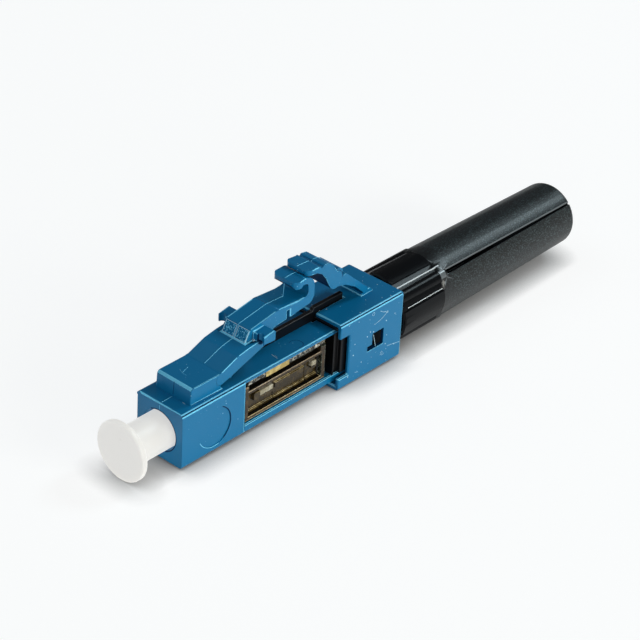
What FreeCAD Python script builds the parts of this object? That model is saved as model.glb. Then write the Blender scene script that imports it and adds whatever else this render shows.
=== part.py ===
import FreeCAD, Part
import math
import os

# Field-fitted fibre connector with a small square plug. Millimetres.
# The origin is the centre of the plug's front face, on the fibre's axis.
# +X runs from the plug back to the cable end, +Z runs up through the latch.

V = FreeCAD.Vector
AXIS_X = V(1, 0, 0)

# Plug housing
PLUG_SIZE = 4.5            # square section that enters the adapter
PLUG_EDGE_R = 0.25         # rounding along the four long edges
PLUG_NOSE_LEN = 6.2        # closed front block, up to the side windows
NOSE_STEP = 0.08           # how far it stands out at the sides
PLUG_LEN = 17.2            # front face to the ends seated in the body
PLUG_SEAT_LEN = 1.6        # length of the plates held in the body
PLUG_BORE_R = 1.6          # round mouth for the adapter's sleeve
TOP_PLATE = 0.3            # wall over the windows
FLOOR_PLATE = 0.65         # wall under the windows
SIDE_WALL = 0.3            # side walls of the closed block's room
SEAT_X = 4.6               # front face of the ferrule seat
SEAT_WALL = 0.65
MARK_R = 1.6               # round ejector mark on the near side
MARK_X = 3.2
MARK_Z = -0.2
MARK_DEPTH = 0.05

# Latch lever, one moulding with the plug, free behind its flexure
ROOT_X = 1.26              # front of the latch root on the plug's top
ROOT_HEIGHT = 1.3
ROOT_NOSE_R = 0.3
FLEX_X = 4.3               # flexure line
FLEX_R = 0.48
FLEX_GAP = 0.02
LEVER_FRONT_HALF = 1.7     # half width before the locking shoulders
LEVER_REAR_HALF = 1.18     # half width behind them
LEVER_RISE = 0.315         # how steeply the front of the lever climbs, per mm
LEVER_FRONT_T = 1.2        # its thickness there
LEVER_LEDGE_T = 0.42       # and at its ledge under the arm
RAMP_X = 7.14              # step up to the arm
RAMP_HEIGHT = 0.96
ARM_X = 7.68               # front end of the arm's top
ARM_TOP_Z = 5.36           # the arm's top there
ARM_CREST = 0.44           # how far the arm's top climbs to its highest point
ARM_CREST_SHARE = 0.49     # its place between the arm's front end and the curl's middle
ARM_T = 1.12               # thickness behind the relief cut
ARM_BEND_SHARE = 0.35      # length and radius of its bends, as a share of the free arm
SHOULDER_HALF = 2.25
SHOULDER_X = 7.95
SHOULDER_LEN = 1.15
SHOULDER_T = 0.68
SHOULDER_TOP_Z = 5.1
SHOULDER_RISE = 0.14
SCOOP_R = 0.3
CURL_AHEAD = 2.35          # middle of the curled end ahead of the body's front
CURL_Z = 6.25
CURL_R = 1.0
CURL_BAND = 0.66           # thickness of the curled end behind
CURL_TOP_BAND = 0.48       # and on top
CURL_PAD_LEN = 1.05        # from the curl's middle to the pad's tip
CURL_LIP = 0.16            # lip under the pad's tip
PAD_CORNER_R = 0.5
NOTCH_AHEAD = 1.67         # relief cut across the underside, ahead of the curl's middle
NOTCH_W = 0.3
NOTCH_TOP_Z = 5.3
SOFT_EDGE = 0.07           # rounding of moulded edges
SOFT_CORNER = 0.12         # rounding of moulded corners in a profile

# Ferrule, its holder and the glass stub
FERRULE_R = 0.6245
FERRULE_TIP_X = -1.3
FERRULE_LEN = 6.5
FERRULE_CHAMFER = 0.2
STUB_R = 0.0625
STUB_LEN = 11.9            # to where the factory fibre meets the field fibre
HOLDER_R = 0.95
HOLDER_GAP = 0.08
HOLDER_FRONT_X = 2.9
FLANGE_LEN = 0.9
FLANGE_R = 1.5
FLANGE_FLAT = 1.3          # distance of the flange's flats from the axis
FLOAT_TRAVEL = 0.6         # how far the ferrule can be pushed in
FLOAT_SPARE = 0.08         # room left beyond that travel

# Mechanical splice seen through the windows
SPLICE_PROUD = 0.1         # how far it fills the window's thickness
SPLICE_SIDE_GAP = 0.1      # room over the floor
SPLICE_H = 2.92
WINDOW_GAP = 0.05
WINDOW_STEP = 0.15         # length of the waist inside the closed block
TRAY_FRAME = 0.85          # front end bar of the lid tray
TRAY_REAR_FRAME = 0.51
TRAY_LOW_BAR = 0.3
TRAY_TOP_BAR = 0.7
TRAY_LEDGE = 0.22          # step round the tray's mouth
TRAY_REAR_LEDGE = 0.13
LEDGE_DEPTH = 0.35
VEE_HALF = 0.11
GUTTER_H = 0.44            # groove above the tray
GUTTER_DEPTH = 0.5
POCKET_END = 0.8           # solid ends beside the far side's pocket
POCKET_DEPTH = 0.6
POCKET_RIM = 0.2
LID_GAP = 0.05
LID_SINK = 0.43            # lids' face behind the base's face
LID_FRONT_LEN = 2.62
LID_REAR_LEN = 1.19
LID_PAD_T = 0.28           # press pads of the end lids
LID_PAD_R = 0.12
LID_RIB_T = 0.12
LID_RIB_H = 0.22
LID_BAND_H = 0.44
BUFFER_R = 0.475           # passage for the 0.9 mm coated fibre
SPIGOT_R = 0.95
SPIGOT_LEN = 1.5
SLIDER_X = 0.6             # slider's start behind the splice's front
SLIDER_GAP = 0.02
SLIDER_INSET = 0.3         # its sides behind the housing's sides
SLIDER_TOOTH = 0.3
SLIDER_TEETH_H = 0.14
SLIDER_BLOCK_X = 2.35      # its solid block, behind the splice's front
SLIDER_BLOCK_LEN = 2.4
SLIDER_BLOCK_OUT = 0.12

# Float spring
SPRING_WIRE_R = 0.13
SPRING_R = 1.22            # to the middle of the wire
SPRING_TURNS = 5
SPRING_GAP = 0.07

# Main body inside the rear box
BODY_LEN = 6.55
BODY_HALF = 2.41
BODY_LOW_Z = -2.38
BODY_TOP_Z = 2.53
NOSE_OUT = 0.12            # core that stands forward between the plates
PLATE_FIT = 0.02
SIDE_POCKET_LEN = 0.5
SIDE_POCKET_DEPTH = 0.3
SPRING_SEAT_DEPTH = 3.8
SNAP_PLACE = 3.75          # snap hooks behind the body's front
SNAP_LEN = 0.95
SNAP_HEIGHT = 1.1
SNAP_OUT = 0.28
SNAP_LOW = 0.03            # how far the hooks sit below the axis
FIN_LEN = 9.6              # rib over the plug's top, under the lever
FIN_SEAT_LEN = 3.0         # of it inside the box
FIN_HALF = 0.17
FIN_HEIGHT = 0.87
FIN_STEP = 0.24
FIN_NOSE = 0.3
NECK_R = 2.05
NECK_LEN = 6.05
COLLET_LEN = 3.2
COLLET_TAPER = 0.21
COLLET_SLOT = 0.3
COLLET_ROOT = 1.0          # how far the slots run into the neck
JACKET_R = 1.55            # bore for the 3 mm cable jacket
JACKET_STOP = 1.25         # wall between the box and the jacket's end
KEY_W = 0.5
KEY_OUT = 0.2
KEY_INSET = 0.3
RUN_GAP = 0.06

# Fibre guide
GUIDE_LEN = 1.8
GUIDE_WALL = 0.25
GUIDE_FIT = 0.01

# Lock sleeve, the blue box with the trigger
BOX_FIT = 0.04             # clearance round the body
BOX_END_FIT = 0.03
BOX_WALL = 0.35
BOX_REAR_WALL = 0.42
BOX_EDGE_R = 0.25
BOX_REAR_R = 0.2           # rounding of its rear rim
MOUTH_LEN = 1.05           # side cut-outs at the mouth
MOUTH_LOW = 1.01           # their lower edge over the box's underside
MOUTH_TOP = 1.24           # their upper edge under the box's top
SNAP_WIN_GAP = 0.15        # snap windows beyond the hooks
SNAP_WIN_RISE = 0.14
SNAP_TOE_LEN = 0.52
SNAP_TOE_H = 0.42
FIN_SLOT_GAP = 0.05

# Trigger over the latch
TRIG_HALF = 1.15
TRIG_WEB_HALF = 1.05
TRIG_PIVOT_BACK = 4.53     # flexure behind the box's mouth
TRIG_PIVOT_UP = 0.38       # and over its top
TRIG_BARREL_R = 0.28
TRIG_KNUCKLE_BACK = 1.0
TRIG_KNUCKLE_UP = 2.76
TRIG_KNUCKLE_R = 0.68
TRIG_REACH = 3.09          # from the knuckle to the finger's tip
TRIG_PAD_OVER = 0.4        # finger's top over the curl's top
TRIG_PAD_T = 0.42
TRIG_GROOVE_BACK = 1.52    # groove behind the tip
TRIG_GROOVE_R = 0.15
TRIG_NECK = 1.0            # slope from the finger's underside to the knuckle
TRIG_HUMP_LEN = 0.8
TRIG_CORNER_R = 0.5
TRIG_WEB_STEP = 0.88       # knuckle to the web's crest
TRIG_WEB_T = 0.9
FOOT_LEN = 1.2
FOOT_HEIGHT = 0.25

# Tail sleeve
TAIL_GAP = 0.15            # behind the box
TAIL_LEN = 21.6
TAIL_FRONT_R = 2.93
TAIL_END_R = 2.62
TAIL_EDGE = 0.15
TAIL_RIM_R = 0.45
TAIL_TURN = 4               # degrees that its ribs and slits stand turned
TAIL_BORE_R = 1.6
TAIL_ROOM_SPARE = 1.0
TAIL_CONE_LEN = 4.2
RIB_LEN = 5.65             # rib, and the slit that starts behind it
SLIT_W = 0.34              # at its blind end
SLIT_RIM_W = 0.16          # and at the rim, where the fingers lean in
RIB_R = 0.6
RIB_PROUD = 0.06
RIB_NOSE_R = 0.25
CHANNEL_LEN = 5.05
CHANNEL_DEPTH = 0.13
CHANNEL_RUNOUT = 0.3
CHANNEL_SPREAD = 24        # degrees from the rib's middle to the channel's edge
RIM_NOTCH_R = 0.2

# Dust cap
CAP_TUBE_LEN = 5.95
CAP_DEPTH = 2.2            # how far the tube enters the plug
CAP_DISC_R = 2.33
CAP_DISC_T = 0.5
CAP_DISC_EDGE = 0.12
CAP_DISC_CONE = 0.1
CAP_TUBE_R = 1.46
CAP_FLARE_R = 0.55
CAP_BORE_R = 0.66
CAP_FLOOR = 1.0


def box(x0, x1, y0, y1, z0, z1):
    return Part.makeBox(x1 - x0, y1 - y0, z1 - z0, V(x0, y0, z0))


def rod(radius, x0, x1, y=0, z=0):
    return Part.makeCylinder(radius, x1 - x0, V(x0, y, z), AXIS_X)


def cross_rod(radius, x, z, half):
    return Part.makeCylinder(radius, 2 * half, V(x, -half, z), V(0, 1, 0))


def rounded_face(corners):
    """Flat face through points (place, radius), each corner rounded by its radius."""
    turns = []
    for i, (place, radius) in enumerate(corners):
        if radius == 0:
            turns.append((place, None, place))
            continue
        back = (corners[i - 1][0] - place).normalize()
        ahead = (corners[(i + 1) % len(corners)][0] - place).normalize()
        half = back.getAngle(ahead) / 2
        reach = radius / math.tan(half)
        inward = V(back + ahead).normalize()
        middle = place + inward * (radius / math.sin(half) - radius)
        turns.append((place + back * reach, middle, place + ahead * reach))
    edges = []
    for i, (start, middle, end) in enumerate(turns):
        if middle is not None:
            edges.append(Part.Arc(start, middle, end).toShape())
        following = turns[(i + 1) % len(turns)][0]
        if end.distanceToPoint(following) > 1e-6:
            edges.append(Part.LineSegment(end, following).toShape())
    return Part.Face(Part.Wire(edges))


def side_plate(corners, half):
    """Side view of (x, z, radius) corners, as wide as twice half."""
    face = rounded_face([(V(x, -half, z), radius) for x, z, radius in corners])
    return face.extrude(V(0, 2 * half, 0))


def bar(x0, x1, half, z0, z1, radius):
    """Bar along X with its four long edges rounded."""
    corners = [(V(x0, -half, z0), radius), (V(x0, half, z0), radius),
               (V(x0, half, z1), radius), (V(x0, -half, z1), radius)]
    return rounded_face(corners).extrude(V(x1 - x0, 0, 0))


def turned(points, radii=None):
    """Solid of revolution about X through (x, r) points, with optional corner radii."""
    radii = radii or [0] * len(points)
    face = rounded_face([(V(x, 0, r), c) for (x, r), c in zip(points, radii)])
    return face.revolve(V(0, 0, 0), AXIS_X, 360)


def soften(solid, radius, chosen):
    """Round the edges for which chosen(edge) is true."""
    return solid.makeFillet(radius, [edge for edge in solid.Edges if chosen(edge)])


def mirrored(shape):
    return shape.mirror(V(0, 0, 0), V(0, 1, 0))


def on_side(edge, half):
    """True for an edge that lies in one of the two side planes."""
    box_of = edge.BoundBox
    flat = box_of.YLength < 1e-6
    return flat and abs(abs(box_of.YMin) - half) < 1e-6


PLUG_HALF = PLUG_SIZE / 2
PLUG_ROOM_HALF = PLUG_HALF - SIDE_WALL
PLATE_LOW = PLUG_HALF - TOP_PLATE
FLOOR_TOP = -PLUG_HALF + FLOOR_PLATE
SEAT_REAR_X = SEAT_X + SEAT_WALL
ROOT_TOP_Z = PLUG_HALF + ROOT_HEIGHT
FLEX_Z = ROOT_TOP_Z - FLEX_R
BODY_X = PLUG_LEN - PLUG_SEAT_LEN
BODY_END_X = BODY_X + BODY_LEN
SPLICE_X = SEAT_REAR_X + FLANGE_LEN
SPLICE_END_X = BODY_X - NOSE_OUT - FLOAT_TRAVEL - FLOAT_SPARE
SPLICE_HALF = PLUG_HALF - 2 * SPLICE_PROUD
SPLICE_LOW_Z = FLOOR_TOP + SPLICE_SIDE_GAP
SPLICE_TOP_Z = SPLICE_LOW_Z + SPLICE_H
TRAY_X = SPLICE_X + TRAY_FRAME
TRAY_END_X = SPLICE_END_X - TRAY_REAR_FRAME
TRAY_LOW_Z = SPLICE_LOW_Z + TRAY_LOW_BAR
TRAY_TOP_Z = SPLICE_TOP_Z - TRAY_TOP_BAR
LID_FACE_Y = -SPLICE_HALF + LID_SINK
SPRING_SEAT_X = BODY_X + SPRING_SEAT_DEPTH
SNAP_X = BODY_X + SNAP_PLACE
FIN_END_X = BODY_X + FIN_SEAT_LEN
NECK_END_X = BODY_END_X + NECK_LEN
COLLET_END_X = NECK_END_X + COLLET_LEN
JACKET_X = BODY_END_X + JACKET_STOP
BOX_X = BODY_X - BOX_END_FIT
BOX_END_X = BODY_END_X + BOX_END_FIT + BOX_REAR_WALL
BOX_SHELL = BOX_FIT + BOX_WALL
BOX_HALF = BODY_HALF + BOX_SHELL
BOX_LOW_Z = BODY_LOW_Z - BOX_SHELL
BOX_TOP_Z = BODY_TOP_Z + BOX_SHELL
CURL_X = BODY_X - CURL_AHEAD
CURL_TOP_Z = CURL_Z + CURL_R
CURL_END_X = CURL_X + CURL_R
NOTCH_X = CURL_X - NOTCH_AHEAD
TRIG_PIVOT_X = BOX_X + TRIG_PIVOT_BACK
TRIG_PIVOT_Z = BOX_TOP_Z + TRIG_PIVOT_UP
TRIG_KNUCKLE_X = BOX_X + TRIG_KNUCKLE_BACK
TRIG_KNUCKLE_Z = BOX_TOP_Z + TRIG_KNUCKLE_UP
TRIG_TIP_X = TRIG_KNUCKLE_X - TRIG_REACH
TRIG_GROOVE_X = TRIG_TIP_X + TRIG_GROOVE_BACK
TRIG_TOP_Z = CURL_TOP_Z + TRIG_PAD_OVER
TAIL_X = BOX_END_X + TAIL_GAP
TAIL_END_X = TAIL_X + TAIL_LEN
TAIL_ROOM_END_X = NECK_END_X + TAIL_ROOM_SPARE
SLIT_X = TAIL_X + RIB_LEN
CAP_FRONT_X = CAP_DEPTH - CAP_TUBE_LEN


def make_plug_housing():
    shell = bar(0, PLUG_LEN, PLUG_HALF, -PLUG_HALF, PLUG_HALF, PLUG_EDGE_R)
    shell = shell.cut(rod(PLUG_BORE_R, 0, SEAT_X))
    shell = shell.cut(rod(HOLDER_R + HOLDER_GAP, SEAT_X, SEAT_REAR_X))
    room = box(SEAT_REAR_X, PLUG_LEN, -PLUG_ROOM_HALF, PLUG_ROOM_HALF, FLOOR_TOP, PLATE_LOW)
    windows = box(PLUG_NOSE_LEN, PLUG_LEN, -PLUG_SIZE, PLUG_SIZE, FLOOR_TOP, PLATE_LOW)
    shell = shell.cut(room).cut(windows)
    side_step = box(PLUG_NOSE_LEN, PLUG_LEN, PLUG_HALF - NOSE_STEP, PLUG_SIZE,
                    -PLUG_SIZE, PLUG_SIZE)
    shell = shell.cut(side_step).cut(mirrored(side_step))
    fin_slot = box(BODY_X - FIN_NOSE, PLUG_LEN, -FIN_HALF - FIN_SLOT_GAP, FIN_HALF + FIN_SLOT_GAP,
                   PLATE_LOW, PLUG_SIZE)
    shell = shell.cut(fin_slot)
    mark = Part.makeCylinder(MARK_R, MARK_DEPTH, V(MARK_X, -PLUG_HALF, MARK_Z), V(0, 1, 0))
    shell = shell.cut(mark)
    sunk_z = PLUG_HALF - SOFT_CORNER
    root = side_plate([(ROOT_X, sunk_z, 0), (FLEX_X, sunk_z, 0), (FLEX_X, ROOT_TOP_Z, 0),
                       (ROOT_X + SOFT_CORNER, ROOT_TOP_Z, ROOT_NOSE_R)], LEVER_FRONT_HALF)
    root = soften(root, SOFT_EDGE, lambda e: on_side(e, LEVER_FRONT_HALF)
                  and e.BoundBox.ZMax > PLUG_HALF and e.BoundBox.XMin < FLEX_X - FLEX_R)
    seat = cross_rod(FLEX_R + FLEX_GAP, FLEX_X, FLEX_Z, LEVER_FRONT_HALF)
    return shell.fuse(root).cut(seat).removeSplitter()


def make_latch_lever():
    end_x = SHOULDER_X + SHOULDER_LEN
    ledge_x = end_x + ROOT_NOSE_R
    low_z = FLEX_Z - FLEX_R
    ledge_z = low_z + LEVER_RISE * (ledge_x - FLEX_X)
    front = side_plate([(FLEX_X, low_z, 0),
                        (FLEX_X + 2 * FLEX_R, low_z + LEVER_RISE * FLEX_R, 2 * FLEX_R),
                        (ledge_x, ledge_z, SOFT_CORNER),
                        (ledge_x, ledge_z + LEVER_LEDGE_T, 0),
                        (RAMP_X, ledge_z + LEVER_LEDGE_T / 2, 0),
                        (RAMP_X - LEVER_FRONT_T, ledge_z, LEVER_FRONT_T),
                        (FLEX_X, ROOT_TOP_Z, 0)], LEVER_FRONT_HALF)
    front = soften(front, SOFT_EDGE, lambda e: on_side(e, LEVER_FRONT_HALF)
                   and e.BoundBox.ZMin > FLEX_Z and e.BoundBox.XMax < RAMP_X)
    barrel = cross_rod(FLEX_R, FLEX_X, FLEX_Z, LEVER_FRONT_HALF)
    pad_x = CURL_X - CURL_PAD_LEN
    pad_low_z = CURL_TOP_Z - CURL_TOP_BAND
    inner_x = CURL_END_X - CURL_BAND
    crest_x = ARM_X + ARM_CREST_SHARE * (CURL_X - ARM_X)
    crest_z = ARM_TOP_Z + ARM_CREST
    bend = ARM_BEND_SHARE * (CURL_X - CURL_R - ledge_x)
    arm = side_plate([(RAMP_X, ledge_z, 0), (ledge_x, ledge_z + SOFT_CORNER, bend),
                      (ledge_x + bend, crest_z - 1.15 * ARM_T, bend),
                      (CURL_X - CURL_R, crest_z - ARM_T, 2 * bend),
                      (CURL_END_X, crest_z - 0.7 * ARM_T, 0.75 * CURL_R),
                      (CURL_END_X, CURL_TOP_Z, CURL_R - 0.02),
                      (pad_x, CURL_TOP_Z - SOFT_EDGE, SOFT_CORNER),
                      (pad_x, pad_low_z + SOFT_EDGE, SOFT_EDGE),
                      (pad_x + CURL_LIP, pad_low_z - CURL_LIP, SOFT_CORNER),
                      (pad_x + 4 * CURL_LIP, pad_low_z - CURL_LIP, SOFT_CORNER),
                      (pad_x + 5 * CURL_LIP, pad_low_z, SOFT_CORNER),
                      (inner_x, pad_low_z, CURL_BAND * 0.6),
                      (inner_x, crest_z - SOFT_CORNER, CURL_BAND * 0.6),
                      (CURL_X - CURL_BAND, crest_z - SOFT_CORNER, bend),
                      (crest_x, crest_z, 2 * bend),
                      (ARM_X, ARM_TOP_Z, SOFT_CORNER),
                      (RAMP_X, ARM_TOP_Z - RAMP_HEIGHT, 0)], LEVER_REAR_HALF)
    plan = rounded_face([(V(pad_x, -LEVER_REAR_HALF, 0), PAD_CORNER_R),
                         (V(pad_x, LEVER_REAR_HALF, 0), PAD_CORNER_R),
                         (V(CURL_END_X + 1, LEVER_REAR_HALF, 0), 0),
                         (V(CURL_END_X + 1, -LEVER_REAR_HALF, 0), 0)])
    plan = plan.extrude(V(0, 0, 2 * CURL_Z))
    keep = box(FLEX_X, CURL_END_X + 1, -LEVER_REAR_HALF, LEVER_REAR_HALF, 0, CURL_Z)
    arm = arm.common(plan.fuse(keep))
    notch = box(NOTCH_X - NOTCH_W / 2, NOTCH_X + NOTCH_W / 2, -PLUG_HALF, PLUG_HALF, 0, NOTCH_TOP_Z)
    arm = arm.cut(notch)
    rise = SHOULDER_TOP_Z + SHOULDER_RISE
    shoulder_z = SHOULDER_TOP_Z - SHOULDER_T
    shoulder = side_plate([(SHOULDER_X, shoulder_z, 0), (end_x, shoulder_z, SOFT_CORNER),
                           (end_x, rise, SOFT_CORNER), (SHOULDER_X, SHOULDER_TOP_Z, 0)],
                          SHOULDER_HALF)
    scoop_y = (LEVER_REAR_HALF + SHOULDER_HALF + SCOOP_R) / 2
    scoop = Part.makeCylinder(SCOOP_R, rise, V(SHOULDER_X, -scoop_y, shoulder_z), V(0, 0, 1))
    shoulder = shoulder.cut(scoop).cut(mirrored(scoop))
    return barrel.fuse(front).fuse(arm).fuse(shoulder).removeSplitter()


def make_ferrule():
    end_x = FERRULE_TIP_X + FERRULE_LEN
    body = turned([(FERRULE_TIP_X, STUB_R), (FERRULE_TIP_X, FERRULE_R - FERRULE_CHAMFER),
                   (FERRULE_TIP_X + FERRULE_CHAMFER, FERRULE_R), (end_x, FERRULE_R),
                   (end_x, STUB_R)])
    return body


def make_fibre_stub():
    return rod(STUB_R, FERRULE_TIP_X, FERRULE_TIP_X + STUB_LEN)


def make_ferrule_holder():
    ferrule_end_x = FERRULE_TIP_X + FERRULE_LEN
    holder = turned([(HOLDER_FRONT_X, FERRULE_R), (HOLDER_FRONT_X, HOLDER_R),
                     (SEAT_REAR_X, HOLDER_R), (SEAT_REAR_X, FLANGE_R), (SPLICE_X, FLANGE_R),
                     (SPLICE_X, STUB_R), (ferrule_end_x, STUB_R), (ferrule_end_x, FERRULE_R)])
    flats = box(SEAT_REAR_X, SPLICE_X, -FLANGE_R, FLANGE_R, FLANGE_FLAT, FLANGE_R)
    return holder.cut(flats).cut(flats.mirror(V(0, 0, 0), V(0, 0, 1)))


def make_splice_base():
    body = bar(SPLICE_X, SPLICE_END_X, SPLICE_HALF, SPLICE_LOW_Z, SPLICE_TOP_Z, SPLICE_PROUD)
    waist = box(SPLICE_X, SPLICE_X + WINDOW_STEP, -SPLICE_HALF, -PLUG_ROOM_HALF + WINDOW_GAP,
                SPLICE_LOW_Z, SPLICE_TOP_Z)
    body = body.cut(waist).cut(mirrored(waist))
    tray = box(TRAY_X, TRAY_END_X, -SPLICE_HALF, 0, TRAY_LOW_Z, TRAY_TOP_Z)
    ledge = box(TRAY_X - TRAY_LEDGE, TRAY_END_X + TRAY_REAR_LEDGE, -SPLICE_HALF,
                -SPLICE_HALF + LEDGE_DEPTH, TRAY_LOW_Z, TRAY_TOP_Z)
    gutter = box(TRAY_X - TRAY_LEDGE, TRAY_END_X, -SPLICE_HALF, -SPLICE_HALF + GUTTER_DEPTH,
                 SPLICE_TOP_Z - GUTTER_H, SPLICE_TOP_Z)
    body = body.cut(tray).cut(ledge).cut(gutter)
    vee = Part.makePolygon([V(TRAY_X, 0, VEE_HALF), V(TRAY_X, VEE_HALF, 0),
                            V(TRAY_X, 0, -VEE_HALF), V(TRAY_X, -VEE_HALF, 0),
                            V(TRAY_X, 0, VEE_HALF)])
    vee = Part.Face(vee).extrude(V(TRAY_END_X - TRAY_X, 0, 0))
    body = body.cut(vee)
    body = body.fuse(rod(SPIGOT_R, SPLICE_END_X, SPLICE_END_X + SPIGOT_LEN))
    body = body.cut(rod(BUFFER_R, TRAY_END_X - VEE_HALF, SPLICE_END_X + SPIGOT_LEN))
    body = body.cut(rod(STUB_R, SPLICE_X, TRAY_X + VEE_HALF))
    far_pocket = box(TRAY_X + POCKET_END, TRAY_END_X - POCKET_END, SPLICE_HALF - POCKET_DEPTH,
                     SPLICE_HALF, TRAY_LOW_Z + POCKET_RIM, TRAY_TOP_Z - POCKET_RIM / 2)
    return body.cut(far_pocket).removeSplitter()


def make_lid(x0, x1, pad):
    """One lid in the tray, its clamping face on the fibre; an end lid has a press pad."""
    low = TRAY_LOW_Z + LID_GAP
    high = TRAY_TOP_Z - LID_GAP
    plate = box(x0, x1, LID_FACE_Y, -STUB_R, low, high)
    middle = (low + high) / 2
    if pad:
        raised = box(x0 + LID_BAND_H, x1 - LID_SINK / 2, LID_FACE_Y - LID_PAD_T, LID_FACE_Y,
                     middle, high - LID_PAD_T)
        raised = soften(raised, LID_PAD_R, lambda e: e.BoundBox.YLength > LID_PAD_T / 2)
    else:
        raised = box(x0 + LID_RIB_T, x1 - LID_RIB_T, LID_FACE_Y - LID_RIB_T, LID_FACE_Y,
                     middle, middle + LID_BAND_H)
    foot_rib = box(x0, x1, LID_FACE_Y - LID_RIB_T, LID_FACE_Y, low, low + LID_RIB_H)
    return plate.fuse(raised).fuse(foot_rib)


def make_clamp_slider():
    low = SPLICE_TOP_Z + SLIDER_GAP
    top = PLATE_LOW - SLIDER_GAP
    half = PLUG_HALF - SLIDER_INSET
    x0 = SPLICE_X + SLIDER_X
    strip = box(x0, SPLICE_END_X, -half, half, low, top - SLIDER_TEETH_H)
    block_x = SPLICE_X + SLIDER_BLOCK_X
    slider = strip.fuse(box(block_x, block_x + SLIDER_BLOCK_LEN, -half - SLIDER_BLOCK_OUT, half,
                            low, top))
    x = x0
    while x + SLIDER_TOOTH / 2 < SPLICE_END_X:
        slider = slider.fuse(box(x, x + SLIDER_TOOTH / 2, -half, half, top - SLIDER_TEETH_H, top))
        x += SLIDER_TOOTH
    return slider.removeSplitter()


def make_float_spring():
    length = SPRING_SEAT_X - SPLICE_END_X - 2 * SPRING_WIRE_R
    helix = Part.makeHelix(length / SPRING_TURNS, length, SPRING_R)
    section = []
    for corner in range(7):
        turn = math.radians(60 * corner)
        section.append(V(SPRING_R + SPRING_WIRE_R * math.cos(turn), 0,
                         SPRING_WIRE_R * math.sin(turn)))
    coil = Part.Wire(helix).makePipeShell([Part.makePolygon(section)], True, True)
    coil.rotate(V(0, 0, 0), V(0, 1, 0), 90)
    coil.translate(V(SPLICE_END_X + SPRING_WIRE_R, 0, 0))
    return coil


def make_main_body():
    slot_top = PLATE_LOW - PLATE_FIT
    slot_floor = FLOOR_TOP + PLATE_FIT
    seat_end_x = PLUG_LEN + PLATE_FIT
    block = box(BODY_X, BODY_END_X, -BODY_HALF, BODY_HALF, BODY_LOW_Z, BODY_TOP_Z)
    nose = box(BODY_X - NOSE_OUT, BODY_X, -PLUG_HALF, PLUG_HALF, slot_floor, slot_top)
    top_slot = box(BODY_X, seat_end_x, -BODY_HALF, BODY_HALF, slot_top, PLUG_HALF + PLATE_FIT)
    floor_slot = box(BODY_X, seat_end_x, -BODY_HALF, BODY_HALF, BODY_LOW_Z, slot_floor)
    pocket = box(BODY_X, BODY_X + SIDE_POCKET_LEN, -BODY_HALF, -BODY_HALF + SIDE_POCKET_DEPTH,
                 slot_floor, slot_top)
    body = block.fuse(nose).cut(top_slot).cut(floor_slot).cut(pocket).cut(mirrored(pocket))
    fin_low = PLUG_HALF + PLATE_FIT
    fin_top = PLUG_HALF + FIN_HEIGHT
    fin_x = FIN_END_X - FIN_LEN
    fin = side_plate([(fin_x, fin_low, 0), (FIN_END_X, fin_low, 0),
                      (FIN_END_X, fin_top + FIN_STEP, 0),
                      (BODY_X - FIN_NOSE / 2, fin_top + FIN_STEP, 0),
                      (BODY_X - FIN_NOSE, fin_top, 0), (fin_x + FIN_NOSE, fin_top, 0)], FIN_HALF)
    fin_root = box(BODY_X, PLUG_LEN, -FIN_HALF, FIN_HALF, slot_top - PLATE_FIT,
                   fin_low + PLATE_FIT)
    hook = Part.makePolygon([V(SNAP_X, -BODY_HALF, 0), V(SNAP_X + SNAP_LEN, -BODY_HALF, 0),
                             V(SNAP_X + SNAP_LEN, -BODY_HALF - SNAP_OUT, 0),
                             V(SNAP_X + SNAP_LEN * 0.55, -BODY_HALF - SNAP_OUT, 0),
                             V(SNAP_X, -BODY_HALF, 0)])
    hook = Part.Face(hook).extrude(V(0, 0, SNAP_HEIGHT))
    hook.translate(V(0, 0, -SNAP_HEIGHT / 2 - SNAP_LOW))
    neck = rod(NECK_R, BODY_END_X, NECK_END_X)
    collet = turned([(NECK_END_X, 0), (NECK_END_X, NECK_R),
                     (COLLET_END_X, NECK_R - COLLET_TAPER), (COLLET_END_X, 0)])
    key = box(TAIL_X + KEY_INSET, NECK_END_X, -NECK_R - KEY_OUT, NECK_R + KEY_OUT,
              -KEY_W / 2, KEY_W / 2)
    body = body.fuse(fin).fuse(fin_root).fuse(hook).fuse(mirrored(hook))
    body = body.fuse(neck).fuse(collet).fuse(key)
    spring_room = SPRING_R + SPRING_WIRE_R + SPRING_GAP
    body = body.cut(rod(spring_room, BODY_X - NOSE_OUT, SPRING_SEAT_X))
    body = body.cut(rod(BUFFER_R, SPRING_SEAT_X, JACKET_X))
    body = body.cut(rod(JACKET_R, JACKET_X, COLLET_END_X))
    slot = box(NECK_END_X - COLLET_ROOT, COLLET_END_X, -COLLET_SLOT / 2, COLLET_SLOT / 2,
               -NECK_R, NECK_R)
    for turn in (45, 135):
        blade = slot.copy()
        blade.rotate(V(0, 0, 0), AXIS_X, turn)
        body = body.cut(blade)
    return body.removeSplitter()


def make_fibre_guide():
    """Funnel pressed into the jacket bore, which leads the coated fibre to the splice."""
    outer = JACKET_R - GUIDE_FIT
    end_x = JACKET_X + GUIDE_LEN
    return turned([(JACKET_X, BUFFER_R), (JACKET_X, outer), (end_x, outer),
                   (end_x, outer - GUIDE_WALL), (JACKET_X + 2 * GUIDE_WALL, BUFFER_R)])


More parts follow.
